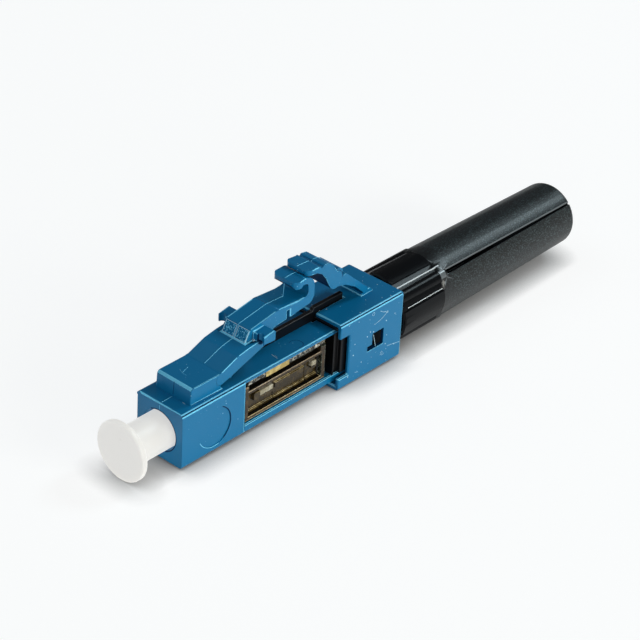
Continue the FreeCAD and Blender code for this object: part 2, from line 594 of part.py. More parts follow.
def make_lock_sleeve():
    shell = bar(BOX_X, BOX_END_X, BOX_HALF, BOX_LOW_Z, BOX_TOP_Z, BOX_EDGE_R)
    shell = soften(shell, BOX_REAR_R, lambda e: e.BoundBox.XMin > BOX_END_X - BOX_WALL)
    inside = box(BOX_X, BOX_END_X - BOX_REAR_WALL, -BOX_HALF + BOX_WALL, BOX_HALF - BOX_WALL,
                 BOX_LOW_Z + BOX_WALL, BOX_TOP_Z - BOX_WALL)
    shell = shell.cut(inside).cut(rod(NECK_R + RUN_GAP, BODY_END_X, BOX_END_X))
    mouth = box(BOX_X, BOX_X + MOUTH_LEN, -2 * BOX_HALF, 2 * BOX_HALF,
                BOX_LOW_Z + MOUTH_LOW, BOX_TOP_Z - MOUTH_TOP)
    win_x = SNAP_X - SNAP_WIN_GAP
    win_end_x = SNAP_X + SNAP_LEN + SNAP_WIN_GAP
    win_half = SNAP_HEIGHT / 2 + SNAP_WIN_RISE
    snap = box(win_x, win_end_x, -2 * BOX_HALF, 2 * BOX_HALF,
               -win_half - SNAP_LOW, win_half - SNAP_LOW)
    toe = box(win_x - SNAP_TOE_LEN, win_x, -2 * BOX_HALF, 2 * BOX_HALF,
              -win_half - SNAP_LOW, -win_half - SNAP_LOW + SNAP_TOE_H)
    slot_half = FIN_HALF + FIN_SLOT_GAP
    slot = box(BOX_X, FIN_END_X + FIN_SLOT_GAP, -slot_half, slot_half, 0, BOX_TOP_Z)
    shell = shell.cut(mouth).cut(snap).cut(toe).cut(slot)
    foot_x = TRIG_PIVOT_X - TRIG_BARREL_R - RUN_GAP
    foot_end_x = foot_x + FOOT_LEN
    foot_top = TRIG_PIVOT_Z - FLEX_GAP
    foot = side_plate([(foot_x, BOX_TOP_Z - BOX_WALL / 2, 0),
                       (foot_end_x, BOX_TOP_Z - BOX_WALL / 2, 0),
                       (foot_end_x, BOX_TOP_Z + SOFT_EDGE, 0),
                       (foot_end_x - TRIG_BARREL_R, foot_top, SOFT_CORNER),
                       (foot_x, foot_top, 0)], TRIG_WEB_HALF)
    seat = cross_rod(TRIG_BARREL_R + FLEX_GAP, TRIG_PIVOT_X, TRIG_PIVOT_Z, TRIG_WEB_HALF)
    front = box(foot_x, TRIG_PIVOT_X, -BOX_HALF, BOX_HALF, BOX_TOP_Z + FOOT_HEIGHT, TRIG_TOP_Z)
    return shell.fuse(foot.cut(seat).cut(front)).removeSplitter()


def make_trigger():
    barrel = cross_rod(TRIG_BARREL_R, TRIG_PIVOT_X, TRIG_PIVOT_Z, TRIG_WEB_HALF)
    knuckle = cross_rod(TRIG_KNUCKLE_R, TRIG_KNUCKLE_X, TRIG_KNUCKLE_Z, TRIG_HALF)
    low_z = TRIG_TOP_Z - TRIG_PAD_T
    hump_x = TRIG_GROOVE_X + TRIG_HUMP_LEN
    knuckle_top = TRIG_KNUCKLE_Z + TRIG_KNUCKLE_R
    finger = side_plate([(TRIG_TIP_X, low_z, SOFT_CORNER),
                         (TRIG_TIP_X + TRIG_NECK, low_z - SOFT_EDGE, TRIG_KNUCKLE_R),
                         (TRIG_TIP_X + 1.6 * TRIG_NECK, low_z - TRIG_PAD_T, TRIG_KNUCKLE_R),
                         (TRIG_KNUCKLE_X - 1.6 * TRIG_KNUCKLE_R, knuckle_top - SOFT_CORNER,
                          TRIG_KNUCKLE_R),
                         (TRIG_KNUCKLE_X - 0.94 * TRIG_KNUCKLE_R,
                          TRIG_KNUCKLE_Z - 0.34 * TRIG_KNUCKLE_R, 0),
                         (TRIG_KNUCKLE_X, TRIG_KNUCKLE_Z, 0),
                         (TRIG_KNUCKLE_X + 0.88 * TRIG_KNUCKLE_R,
                          TRIG_KNUCKLE_Z + 0.47 * TRIG_KNUCKLE_R, 0),
                         (TRIG_KNUCKLE_X + SOFT_CORNER, knuckle_top + SOFT_CORNER, ROOT_NOSE_R),
                         (hump_x + TRIG_PAD_T, low_z - SOFT_CORNER, ROOT_NOSE_R),
                         (hump_x, TRIG_TOP_Z - TRIG_PAD_T / 2, TRIG_PAD_T),
                         (TRIG_GROOVE_X + 2 * TRIG_GROOVE_R, TRIG_TOP_Z - SOFT_CORNER, SOFT_CORNER),
                         (TRIG_GROOVE_X, TRIG_TOP_Z - TRIG_GROOVE_R, 0),
                         (TRIG_GROOVE_X - 2 * TRIG_GROOVE_R, TRIG_TOP_Z - SOFT_EDGE, SOFT_CORNER),
                         (TRIG_TIP_X, TRIG_TOP_Z, SOFT_CORNER)], TRIG_HALF)
    finger = finger.cut(cross_rod(TRIG_GROOVE_R, TRIG_GROOVE_X, TRIG_TOP_Z - SOFT_CORNER,
                                  TRIG_HALF))
    crest_x = TRIG_KNUCKLE_X + TRIG_WEB_STEP
    low_x = crest_x + TRIG_WEB_STEP / 3
    heel_x = TRIG_PIVOT_X - TRIG_BARREL_R
    web = side_plate([(TRIG_KNUCKLE_X, TRIG_KNUCKLE_Z - TRIG_KNUCKLE_R, 0),
                      (low_x, TRIG_KNUCKLE_Z - TRIG_WEB_T, TRIG_KNUCKLE_R),
                      (heel_x - TRIG_WEB_T, TRIG_KNUCKLE_Z - 1.75 * TRIG_WEB_T, TRIG_KNUCKLE_R),
                      (heel_x, TRIG_PIVOT_Z - FLEX_GAP, 0),
                      (TRIG_PIVOT_X + TRIG_BARREL_R * 0.7, TRIG_PIVOT_Z + TRIG_BARREL_R * 0.7, 0),
                      (crest_x + TRIG_PAD_T, TRIG_KNUCKLE_Z, SOFT_EDGE),
                      (crest_x + SOFT_EDGE, TRIG_KNUCKLE_Z - SOFT_EDGE, SOFT_EDGE),
                      (crest_x, TRIG_KNUCKLE_Z + SOFT_CORNER, SOFT_CORNER),
                      (crest_x - SOFT_CORNER, knuckle_top, SOFT_CORNER),
                      (crest_x - TRIG_PAD_T, knuckle_top + SOFT_CORNER, SOFT_CORNER),
                      (TRIG_KNUCKLE_X, knuckle_top - SOFT_EDGE, 0)], TRIG_WEB_HALF)
    plan = rounded_face([(V(TRIG_TIP_X, -TRIG_HALF, 0), TRIG_CORNER_R),
                         (V(TRIG_TIP_X, TRIG_HALF, 0), TRIG_CORNER_R),
                         (V(TRIG_PIVOT_X + 1, TRIG_HALF, 0), 0),
                         (V(TRIG_PIVOT_X + 1, -TRIG_HALF, 0), 0)]).extrude(V(0, 0, 2 * TRIG_TOP_Z))
    return barrel.fuse(knuckle).fuse(finger).fuse(web).common(plan).removeSplitter()


def tail_radius(x):
    share = (x - TAIL_X) / (TAIL_END_X - TAIL_X)
    return TAIL_FRONT_R + (TAIL_END_R - TAIL_FRONT_R) * share


def sector(x0, x1, depth, start, sweep):
    """Part of the tail's skin, from depth below it to well above it."""
    high = TAIL_FRONT_R + RIB_R
    face = rounded_face([(V(x0, 0, tail_radius(x0) - depth), 0),
                         (V(x1 - CHANNEL_RUNOUT, 0, tail_radius(x1) - depth), 0),
                         (V(x1, 0, tail_radius(x1) + PLATE_FIT), 0),
                         (V(x1, 0, high), 0), (V(x0, 0, high), 0)])
    wedge = face.revolve(V(0, 0, 0), AXIS_X, sweep)
    wedge.rotate(V(0, 0, 0), AXIS_X, start)
    return wedge


def make_tail_sleeve():
    outer = turned([(TAIL_X, 0), (TAIL_X, TAIL_FRONT_R - TAIL_EDGE),
                    (TAIL_X + TAIL_EDGE, TAIL_FRONT_R), (TAIL_END_X, TAIL_END_R),
                    (TAIL_END_X, 0)], [0, 0, 0, TAIL_RIM_R, 0])
    channel_end_x = TAIL_X + CHANNEL_LEN
    for quarter in range(4):
        middle = 45 + 90 * quarter + TAIL_TURN
        wedge = sector(TAIL_X - TAIL_EDGE, channel_end_x, CHANNEL_DEPTH,
                       middle - CHANNEL_SPREAD, 2 * CHANNEL_SPREAD)
        outer = outer.cut(wedge)
    for quarter in range(4):
        middle = 45 + 90 * quarter + TAIL_TURN
        centre_r = tail_radius((TAIL_X + SLIT_X) / 2) - RIB_R + RIB_PROUD
        rib = rod(RIB_R, TAIL_X, SLIT_X, 0, centre_r)
        rib = soften(rib, RIB_NOSE_R, lambda e: e.BoundBox.XMin > SLIT_X - RIB_NOSE_R)
        rib.rotate(V(0, 0, 0), AXIS_X, middle)
        outer = outer.fuse(rib)
    room_r = NECK_R + RUN_GAP
    front_x = TAIL_X - TAIL_EDGE
    hollow = turned([(front_x, 0), (front_x, room_r), (TAIL_ROOM_END_X, room_r),
                     (TAIL_ROOM_END_X + TAIL_CONE_LEN, TAIL_BORE_R), (TAIL_END_X, TAIL_BORE_R),
                     (TAIL_END_X, 0)])
    sleeve = outer.cut(hollow)
    groove = box(front_x, NECK_END_X + KEY_INSET, -room_r - KEY_OUT, room_r + KEY_OUT,
                 -KEY_W / 2 - RUN_GAP, KEY_W / 2 + RUN_GAP)
    sleeve = sleeve.cut(groove)
    far = 2 * TAIL_FRONT_R
    plan = Part.makePolygon([V(SLIT_X, -SLIT_W / 2, -far), V(TAIL_END_X, -SLIT_RIM_W / 2, -far),
                             V(TAIL_END_X, SLIT_RIM_W / 2, -far), V(SLIT_X, SLIT_W / 2, -far),
                             V(SLIT_X, -SLIT_W / 2, -far)])
    blade = Part.Face(plan).extrude(V(0, 0, 2 * far))
    for turn in (45, 135):
        slit = blade.copy()
        slit.rotate(V(0, 0, 0), AXIS_X, turn - 90 + TAIL_TURN)
        sleeve = sleeve.cut(slit)
    for axis in (V(0, 1, 0), V(0, 0, 1)):
        notch = Part.makeCylinder(RIM_NOTCH_R, 2 * far, V(TAIL_END_X, 0, 0) - axis * far, axis)
        sleeve = sleeve.cut(notch)
    return sleeve.removeSplitter()


def make_dust_cap():
    disc_back_x = CAP_FRONT_X + CAP_DISC_T
    floor_x = CAP_FRONT_X + CAP_FLOOR
    cap = turned([(CAP_FRONT_X, 0), (CAP_FRONT_X, CAP_DISC_R),
                  (disc_back_x - CAP_DISC_EDGE, CAP_DISC_R),
                  (disc_back_x, CAP_DISC_R - CAP_DISC_EDGE),
                  (disc_back_x + CAP_DISC_CONE, CAP_TUBE_R),
                  (CAP_DEPTH - CAP_DISC_EDGE, CAP_TUBE_R), (CAP_DEPTH, CAP_TUBE_R - CAP_DISC_EDGE),
                  (CAP_DEPTH, CAP_BORE_R), (floor_x, CAP_BORE_R), (floor_x, 0)],
                 [0, CAP_DISC_EDGE, 0, 0, CAP_FLARE_R, 0, 0, 0, 0, 0])
    return cap


lid_front_x = TRAY_X + LID_GAP
lid_middle_x = lid_front_x + LID_FRONT_LEN + LID_GAP
lid_end_x = TRAY_END_X - LID_GAP
lid_rear_x = lid_end_x - LID_REAR_LEN

parts = {
    "dust_cap": make_dust_cap(),
    "plug_housing": make_plug_housing(),
    "latch_lever": make_latch_lever(),
    "ferrule": make_ferrule(),
    "fibre_stub": make_fibre_stub(),
    "ferrule_holder": make_ferrule_holder(),
    "splice_base": make_splice_base(),
    "splice_lid_front": make_lid(lid_front_x, lid_middle_x - LID_GAP, True),
    "splice_lid_middle": make_lid(lid_middle_x, lid_rear_x - LID_GAP, False),
    "splice_lid_rear": make_lid(lid_rear_x, lid_end_x, True),
    "clamp_slider": make_clamp_slider(),
    "float_spring": make_float_spring(),
    "main_body": make_main_body(),
    "fibre_guide": make_fibre_guide(),
    "lock_sleeve": make_lock_sleeve(),
    "trigger": make_trigger(),
    "tail_sleeve": make_tail_sleeve(),
}

os.makedirs("parts", exist_ok=True)
for name, shape in parts.items():
    solids = shape.Solids
    print(name, len(solids), "solid", round(shape.Volume, 3), "mm3", shape.isValid())
    shape.exportStep(os.path.join("parts", name + ".step"))
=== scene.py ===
import math

import bmesh
import bpy
from mathutils import Matrix, Vector
from mathutils.bvhtree import BVHTree


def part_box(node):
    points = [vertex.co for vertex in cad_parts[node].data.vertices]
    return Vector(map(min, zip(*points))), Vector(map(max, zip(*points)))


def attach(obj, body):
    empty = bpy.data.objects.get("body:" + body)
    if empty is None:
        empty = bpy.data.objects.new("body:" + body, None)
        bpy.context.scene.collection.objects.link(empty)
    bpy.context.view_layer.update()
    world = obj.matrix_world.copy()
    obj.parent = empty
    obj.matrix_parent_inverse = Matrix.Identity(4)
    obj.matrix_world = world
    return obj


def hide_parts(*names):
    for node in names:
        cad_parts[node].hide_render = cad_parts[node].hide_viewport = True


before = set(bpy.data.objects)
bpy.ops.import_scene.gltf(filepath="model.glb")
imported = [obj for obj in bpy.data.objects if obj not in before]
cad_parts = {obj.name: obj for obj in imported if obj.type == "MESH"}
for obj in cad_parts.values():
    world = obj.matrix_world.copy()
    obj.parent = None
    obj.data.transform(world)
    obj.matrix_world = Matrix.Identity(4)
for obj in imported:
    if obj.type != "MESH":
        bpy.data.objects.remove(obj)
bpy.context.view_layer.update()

# A field-fitted fibre connector: blue mouldings, an amber splice and a black tail.
# Lengths are metres, as in the frame. +X runs back along the cable, -Y is the near
# side and +Z is the side of the latch.
MM = 0.001


# The table that the connector was laid on: a matt white sheet in a white room. The
# connector rests on the front rim of its tail and on the blue box, so the sheet
# lies a little off level in the part's own frame.
TABLE_SIZE = 4.0
REST_TAIL = Vector((22.75, 0, -2.95)) * MM
REST_BOX = Vector((15.57, 0, -2.79)) * MM


def srgb(red, green, blue):
    """A colour as it is seen on a screen, 0 to 255, in the renderer's own terms."""
    linear = []
    for value in (red / 255, green / 255, blue / 255):
        linear.append(value / 12.92 if value <= 0.04045 else ((value + 0.055) / 1.055) ** 2.4)
    return (*linear, 1)


def new_material(name):
    """An empty material with its output and Principled shader, ready to be set."""
    material = bpy.data.materials.new(name)
    material.use_nodes = True
    nodes = material.node_tree.nodes
    return material, nodes, material.node_tree.links, nodes["Principled BSDF"]


def seen_as_white(nodes, links, gloss):
    """1 for what the camera sees, by itself or through glass, and a share of it in a gloss."""
    light_path = nodes.new("ShaderNodeLightPath")
    seen = nodes.new("ShaderNodeMath")
    seen.operation = "MAXIMUM"
    links.new(light_path.outputs["Is Camera Ray"], seen.inputs[0])
    links.new(light_path.outputs["Is Transmission Ray"], seen.inputs[1])
    mirrored = nodes.new("ShaderNodeMath")
    mirrored.operation = "MULTIPLY_ADD"
    mirrored.use_clamp = True
    links.new(light_path.outputs["Is Glossy Ray"], mirrored.inputs[0])
    mirrored.inputs[1].default_value = gloss
    links.new(seen.outputs[0], mirrored.inputs[2])
    return mirrored.outputs[0]


CONTACT_REACH = 2.2 * MM
CONTACT_DEPTH = 1.5
SHEET_IN_GLOSS = 0.8
SHEET_SEEN = (0.24, 0.24, 0.24, 1)
SHEET_BOUNCE = (0.86, 0.86, 0.86, 1)
SHEET_GLOW = 0.82
white_sheet, nodes, links, shader = new_material("white_sheet")
shader.inputs["Roughness"].default_value = 0.9
shader.inputs["Specular IOR Level"].default_value = 0.1
# The sheet's glow for the camera is dimmed by ambient occlusion near the connector: a painted
# contact shade.
contact = nodes.new("ShaderNodeAmbientOcclusion")
contact.samples = 16
contact.inputs["Distance"].default_value = CONTACT_REACH
clear = nodes.new("ShaderNodeMath")
clear.operation = "POWER"
links.new(contact.outputs["AO"], clear.inputs[0])
clear.inputs[1].default_value = CONTACT_DEPTH
seen = seen_as_white(nodes, links, SHEET_IN_GLOSS)
sheet_colour = nodes.new("ShaderNodeMix")
sheet_colour.data_type = "RGBA"
sheet_colour.inputs["A"].default_value = SHEET_BOUNCE
sheet_colour.inputs["B"].default_value = SHEET_SEEN
links.new(seen, sheet_colour.inputs["Factor"])
links.new(sheet_colour.outputs["Result"], shader.inputs["Base Color"])
glow = nodes.new("ShaderNodeMath")
glow.operation = "MULTIPLY"
links.new(seen, glow.inputs[0])
links.new(clear.outputs[0], glow.inputs[1])
glow_level = nodes.new("ShaderNodeMath")
glow_level.operation = "MULTIPLY"
glow_level.inputs[1].default_value = SHEET_GLOW
links.new(glow.outputs[0], glow_level.inputs[0])
shader.inputs["Emission Color"].default_value = (1, 1, 1, 1)
links.new(glow_level.outputs[0], shader.inputs["Emission Strength"])

slope = math.atan2(REST_BOX.z - REST_TAIL.z, REST_TAIL.x - REST_BOX.x)
bpy.ops.mesh.primitive_plane_add(size=TABLE_SIZE, location=REST_TAIL, rotation=(0, slope, 0))
table = bpy.context.object
table.name = "table_sheet"
table.data.materials.append(white_sheet)

ROOM_LIGHT = 0.08
ROOM_IN_GLOSS = 0.05
room = bpy.data.worlds.new("white_room")
bpy.context.scene.world = room
room.use_nodes = True
nodes = room.node_tree.nodes
links = room.node_tree.links
sky = nodes["Background"]
sky.inputs["Color"].default_value = (1, 1, 1, 1)
strength = nodes.new("ShaderNodeMapRange")
strength.inputs["To Min"].default_value = ROOM_LIGHT
strength.inputs["To Max"].default_value = 1.0
links.new(seen_as_white(nodes, links, ROOM_IN_GLOSS), strength.inputs["Value"])
links.new(strength.outputs["Result"], sky.inputs["Strength"])

LAMP_DISTANCE = 0.5
LAMP_AIM = Vector((18, 0, 0)) * MM


def soft_lamp(name, azimuth, elevation, width, height, power, colour):
    """A softbox that faces the middle of the connector."""
    lamp = bpy.data.lights.new(name, "AREA")
    lamp.shape = "RECTANGLE"
    lamp.size = width
    lamp.size_y = height
    lamp.energy = power
    lamp.color = colour
    holder = bpy.data.objects.new(name, lamp)
    bpy.context.scene.collection.objects.link(holder)
    turn = math.radians(azimuth)
    lift = math.radians(elevation)
    level = math.cos(lift)
    away = Vector((math.sin(turn) * level, -math.cos(turn) * level, math.sin(lift)))
    holder.location = LAMP_AIM + away * LAMP_DISTANCE
    holder.rotation_euler = away.to_track_quat("Z", "Y").to_euler()


soft_lamp("near_softbox", 12, 15, 0.22, 0.2, 1.62, (0.98, 1, 0.92))
soft_lamp("high_softbox", 75, 42, 0.12, 0.12, 0.76, (0.76, 0.93, 1))
soft_lamp("left_softbox", -50, 15, 0.3, 0.25, 0.55, (0.96, 0.97, 0.96))
soft_lamp("far_softbox", -145, 48, 0.42, 0.35, 0.52, (0.66, 0.9, 1))


# The photograph's camera: a long lens from the left of the plug's near side,
# rolled a few degrees, aimed to the right of the plug's front face.
VIEW_AZIMUTH = math.radians(-49.268)
VIEW_ELEVATION = math.radians(32.590)
VIEW_ROLL = math.radians(3.163)
VIEW_DISTANCE = 156.3 * MM
VIEW_RIGHT = 11.131 * MM
VIEW_UP = 7.616 * MM
LENS = 126.907
SENSOR = 36.0

back = Vector((math.sin(VIEW_AZIMUTH) * math.cos(VIEW_ELEVATION),
               -math.cos(VIEW_AZIMUTH) * math.cos(VIEW_ELEVATION), math.sin(VIEW_ELEVATION)))
level_right = Vector((math.cos(VIEW_AZIMUTH), math.sin(VIEW_AZIMUTH), 0))
level_up = back.cross(level_right)
right = math.cos(VIEW_ROLL) * level_right + math.sin(VIEW_ROLL) * level_up
up = -math.sin(VIEW_ROLL) * level_right + math.cos(VIEW_ROLL) * level_up
camera = bpy.data.objects.new("photo_camera", bpy.data.cameras.new("photo_camera"))
camera.data.lens = LENS
camera.data.sensor_width = SENSOR
camera.data.clip_start = 5 * MM
camera.data.clip_end = 20
place = right * VIEW_RIGHT + up * VIEW_UP + back * VIEW_DISTANCE
camera.matrix_world = Matrix.Translation(place) @ Matrix((right, up, back)).transposed().to_4x4()
bpy.context.scene.collection.objects.link(camera)
bpy.context.scene.camera = camera
bpy.context.scene.view_settings.view_transform = "Standard"


# The square plug that enters the adapter: one blue polymer moulding, open at both
# sides, with the root of the latch on its top. Its edges are rounded by the mould;
# those that face the lamps are painted paler as highlights, with a painted dark band
# along the middle of the near top edges.
PLUG_EDGE = 0.11 * MM
PLUG_FINE_EDGE = 0.07 * MM
CRISP_EDGE = 0.035 * MM
FULL_WIDE = 2.4
FULL_LONG = 3
FINE_WIDE = 1.5
FINE_LONG = 2


def merged_copy(node):
    """A CAD node's triangles as one skin of flat faces, to work on."""
    grid = bmesh.new()
    grid.from_mesh(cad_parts[node].data)
    bmesh.ops.remove_doubles(grid, verts=grid.verts, dist=1e-4 * MM)
    bmesh.ops.dissolve_limit(grid, angle_limit=math.radians(0.6), verts=grid.verts,
                             edges=grid.edges)
    return grid


def mark_edges(grid, edge, fine_edge, crease, crisp):
    """Marks the sharp edges for rounding: in full beside wide faces, finely beside narrow
    ones, hardly at crisp places, and not at all where a face is too narrow for it."""
    weight = grid.edges.layers.float.new("bevel_weight_edge")
    for line in grid.edges:
        if len(line.link_faces) != 2 or line.calc_face_angle(0) < crease:
            continue
        if crisp and crisp((line.verts[0].co + line.verts[1].co) / 2 / MM):
            line[weight] = CRISP_EDGE / edge
            continue
        width = min(face.calc_area() / max(side.calc_length() for side in face.edges)
                    for face in line.link_faces)
        if width > FULL_WIDE * edge and line.calc_length() > FULL_LONG * edge:
            line[weight] = 1
        elif width > FINE_WIDE * fine_edge and line.calc_length() > FINE_LONG * fine_edge:
            line[weight] = fine_edge / edge


def gets_painted_highlight(normal, all_round):
    """True on the edges that face the lamps, which get a painted highlight: the near and front
    ones of the top.
    """
    if normal.y < 0.35 and normal.z > 0.2:
        return True
    return normal.y < -0.35 and (all_round or normal.x > 0.35)


NARROW = 0.09 * MM
LINE_TURNS = (33, 57)
SIDE_TURNS = (10, 80)
FRONT_TURNS = (20, 70)


def edge_band(normal, all_round):
    """The finish of a narrow strip along an edge, by the way it faces: 0 is plain, 1 is a
    painted highlight, and 2 is the painted dark band in the middle of a near top edge."""
    if all_round:
        faces_front = abs(normal.z) < 0.1 and normal.x < -0.2
        return 1 if -0.96 < normal.y < -0.3 and not faces_front else 0
    if abs(normal.x) < 0.3 and normal.y < -0.12 and normal.z > 0.12:
        turn = math.degrees(math.atan2(-normal.y, normal.z))
        if LINE_TURNS[0] < turn < LINE_TURNS[1]:
            return 2
        return 1 if SIDE_TURNS[0] < turn < SIDE_TURNS[1] else 0
    if abs(normal.y) < 0.3 and normal.x < -0.12 and normal.z > 0.12:
        turn = math.degrees(math.atan2(-normal.x, normal.z))
        return 1 if FRONT_TURNS[0] < turn < FRONT_TURNS[1] else 0
    if abs(normal.z) < 0.3 and normal.x > 0.3 and normal.y < -0.5:
        return 1
    return 0


def moulding(node, body, finish, edge_finish=None, edge=0.0, fine_edge=None,
             crease=math.radians(32), patches=(), line_finish=None, all_round=False, cuts=(),
             crisp=None):
    """A copy of a CAD node that stands for it, with rounded edges and smooth curves. The edge
    finish is a painted highlight on the rounded edges that face the lamps. A patch is a finish
    and a test of a face's centre and normal for where it goes, and a cut parts the faces along
    a plane. A line finish is a painted dark band along the middle of the near top edges, and
    crisp tests the places, in millimetres, where an edge is hardly rounded."""
    grid = merged_copy(node)
    for place, direction in cuts:
        bmesh.ops.bisect_plane(grid, geom=grid.verts[:] + grid.edges[:] + grid.faces[:],
                               plane_co=place, plane_no=direction)
    mark_edges(grid, edge, fine_edge or edge, crease, crisp)
    mesh = bpy.data.meshes.new(node + "_moulding")
    grid.to_mesh(mesh)
    grid.free()
    if "custom_normal" in mesh.attributes:
        mesh.attributes.remove(mesh.attributes["custom_normal"])
    piece = bpy.data.objects.new(node + "_moulding", mesh)
    bpy.context.scene.collection.objects.link(piece)
    mesh.materials.clear()
    mesh.materials.append(finish)
    mesh.materials.append(edge_finish or finish)
    mesh.materials.append(line_finish or edge_finish or finish)
    mesh.polygons.foreach_set("material_index", [0] * len(mesh.polygons))
    mesh.polygons.foreach_set("use_smooth", [True] * len(mesh.polygons))
    mesh.set_sharp_from_angle(angle=crease)
    if edge:
        rounding = piece.modifiers.new("rounding", "BEVEL")
        rounding.width = edge
        rounding.segments = 3
        rounding.limit_method = "WEIGHT"
        rounding.use_clamp_overlap = False
        rounding.material = 1
        flattening = piece.modifiers.new("flattening", "WEIGHTED_NORMAL")
        flattening.keep_sharp = True
        shown = piece.evaluated_get(bpy.context.evaluated_depsgraph_get())
        piece.data = bpy.data.meshes.new_from_object(shown)
        piece.modifiers.clear()
        for face in piece.data.polygons:
            sides = [(piece.data.vertices[first].co - piece.data.vertices[last].co).length
                     for first, last in face.edge_keys]
            if face.material_index == 1 and not gets_painted_highlight(face.normal, all_round):
                face.material_index = 0
            elif edge_finish and max(sides) > 4 * NARROW and face.area < NARROW * max(sides):
                face.material_index = max(face.material_index, edge_band(face.normal, all_round))
    for patch_finish, covers in patches:
        piece.data.materials.append(patch_finish)
        for face in piece.data.polygons:
            if covers(face.center / MM, face.normal):
                face.material_index = len(piece.data.materials) - 1
    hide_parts(node)
    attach(piece, body)


def new_group(name, *numbers):
    """A shader group with named numbers going in, ready for its nodes."""
    group = bpy.data.node_groups.new(name, "ShaderNodeTree")
    for number in numbers:
        group.interface.new_socket(number, in_out="INPUT", socket_type="NodeSocketFloat")
    source = group.nodes.new("NodeGroupInput")
    result = group.nodes.new("NodeGroupOutput")
    return group, source, result


def scale_for(nodes, links, size):
    """The scale that gives a texture features of the size that a socket holds."""
    scale = nodes.new("ShaderNodeMath")
    scale.operation = "DIVIDE"
    scale.inputs[0].default_value = 1
    links.new(size, scale.inputs[1])
    return scale.outputs[0]


def handling_marks():
    """Shader group: how pale the surface is where it was scuffed, and its fine grain."""
    group, source, result = new_group("handling_marks", "Speck Size", "Grain Size", "Amount")
    group.interface.new_socket("Mask", in_out="OUTPUT", socket_type="NodeSocketFloat")
    group.interface.new_socket("Height", in_out="OUTPUT", socket_type="NodeSocketFloat")
    nodes, links = group.nodes, group.links
    place = nodes.new("ShaderNodeTexCoord")
    spots = nodes.new("ShaderNodeTexVoronoi")
    links.new(place.outputs["Object"], spots.inputs["Vector"])
    links.new(scale_for(nodes, links, source.outputs["Speck Size"]), spots.inputs["Scale"])
    near = nodes.new("ShaderNodeMapRange")
    near.inputs["From Min"].default_value = 0.16
    near.inputs["From Max"].default_value = 0.06
    links.new(spots.outputs["Distance"], near.inputs["Value"])
    cloud = nodes.new("ShaderNodeTexNoise")
    cloud.inputs["Scale"].default_value = 700
    cloud.inputs["Detail"].default_value = 3
    links.new(place.outputs["Object"], cloud.inputs["Vector"])
    worn = nodes.new("ShaderNodeMapRange")
    worn.inputs["From Min"].default_value = 0.52
    worn.inputs["From Max"].default_value = 0.66
    links.new(cloud.outputs["Fac"], worn.inputs["Value"])
    spotted = nodes.new("ShaderNodeMath")
    spotted.operation = "MULTIPLY"
    links.new(near.outputs["Result"], spotted.inputs[0])
    links.new(worn.outputs["Result"], spotted.inputs[1])
    mask = nodes.new("ShaderNodeMath")
    mask.operation = "MULTIPLY"
    links.new(spotted.outputs[0], mask.inputs[0])
    links.new(source.outputs["Amount"], mask.inputs[1])
    grain = nodes.new("ShaderNodeTexNoise")
    grain.inputs["Detail"].default_value = 2
    links.new(place.outputs["Object"], grain.inputs["Vector"])
    links.new(scale_for(nodes, links, source.outputs["Grain Size"]), grain.inputs["Scale"])
    links.new(mask.outputs[0], result.inputs["Mask"])
    links.new(grain.outputs["Fac"], result.inputs["Height"])
    return group


marks = handling_marks()


def polymer(name, colour, pale, roughness, grain_depth, speck, grain, amount, specular=0.5,
            shine=(1, 1, 1, 1)):
    """A moulded polymer with a fine grain of a depth and size, and an amount of pale specks.
    Specular and shine are the level and the tint of its gloss."""
    material, nodes, links, shader = new_material(name)
    scuffs = nodes.new("ShaderNodeGroup")
    scuffs.node_tree = marks
    scuffs.inputs["Speck Size"].default_value = speck
    scuffs.inputs["Grain Size"].default_value = grain
    scuffs.inputs["Amount"].default_value = amount
    tint = nodes.new("ShaderNodeMix")
    tint.data_type = "RGBA"
    tint.inputs["A"].default_value = colour
    tint.inputs["B"].default_value = pale
    links.new(scuffs.outputs["Mask"], tint.inputs["Factor"])
    links.new(tint.outputs["Result"], shader.inputs["Base Color"])
    relief = nodes.new("ShaderNodeBump")
    relief.inputs["Strength"].default_value = 1
    relief.inputs["Distance"].default_value = grain_depth
    links.new(scuffs.outputs["Height"], relief.inputs["Height"])
    links.new(relief.outputs["Normal"], shader.inputs["Normal"])
    shader.inputs["Roughness"].default_value = roughness
    shader.inputs["Specular IOR Level"].default_value = specular
    shader.inputs["Specular Tint"].default_value = shine
    return material


# The edge blue paints a highlight on edges and marks that face the lamps; the deep blue paints
# shade under things, in recesses and in a band along the near top edges.
BLUE = srgb(8, 111, 160)
PAINTED_SHADE_BLUE = srgb(5, 50, 88)
PALE_BLUE = srgb(150, 205, 232)
HIGHLIGHT_BLUE = srgb(118, 206, 242)
SKY_TINT = srgb(190, 220, 245)
SCUFF_AND_HIGHLIGHT_BLUE = srgb(188, 222, 238)
blue_plastic = polymer("blue_plastic", BLUE, PALE_BLUE, 0.36, 0.003 * MM, 0.35 * MM, 0.06 * MM,
                       0.8, specular=0.45, shine=SKY_TINT)
blue_highlight_and_wear = polymer("blue_highlight_and_wear", HIGHLIGHT_BLUE, PALE_BLUE, 0.3, 0.001 * MM, 0.3 * MM, 0.1 * MM,
                    0.3, shine=HIGHLIGHT_BLUE)
blue_painted_shade = polymer("blue_painted_shade", PAINTED_SHADE_BLUE, BLUE, 0.5, 0.001 * MM, 0.3 * MM, 0.1 * MM,
                    0.2, specular=0.1)
# This pale finish is real wear on specks, scratches and the gate mark, and a painted highlight on
# raised borders and edges.
pale_scuff_and_highlight = polymer("pale_scuff_and_highlight", SCUFF_AND_HIGHLIGHT_BLUE, PALE_BLUE, 0.5, 0.001 * MM, 0.3 * MM,
                     0.1 * MM, 0)
MOUTH_ROUND = 1.6
MOUTH_DEPTH = 2
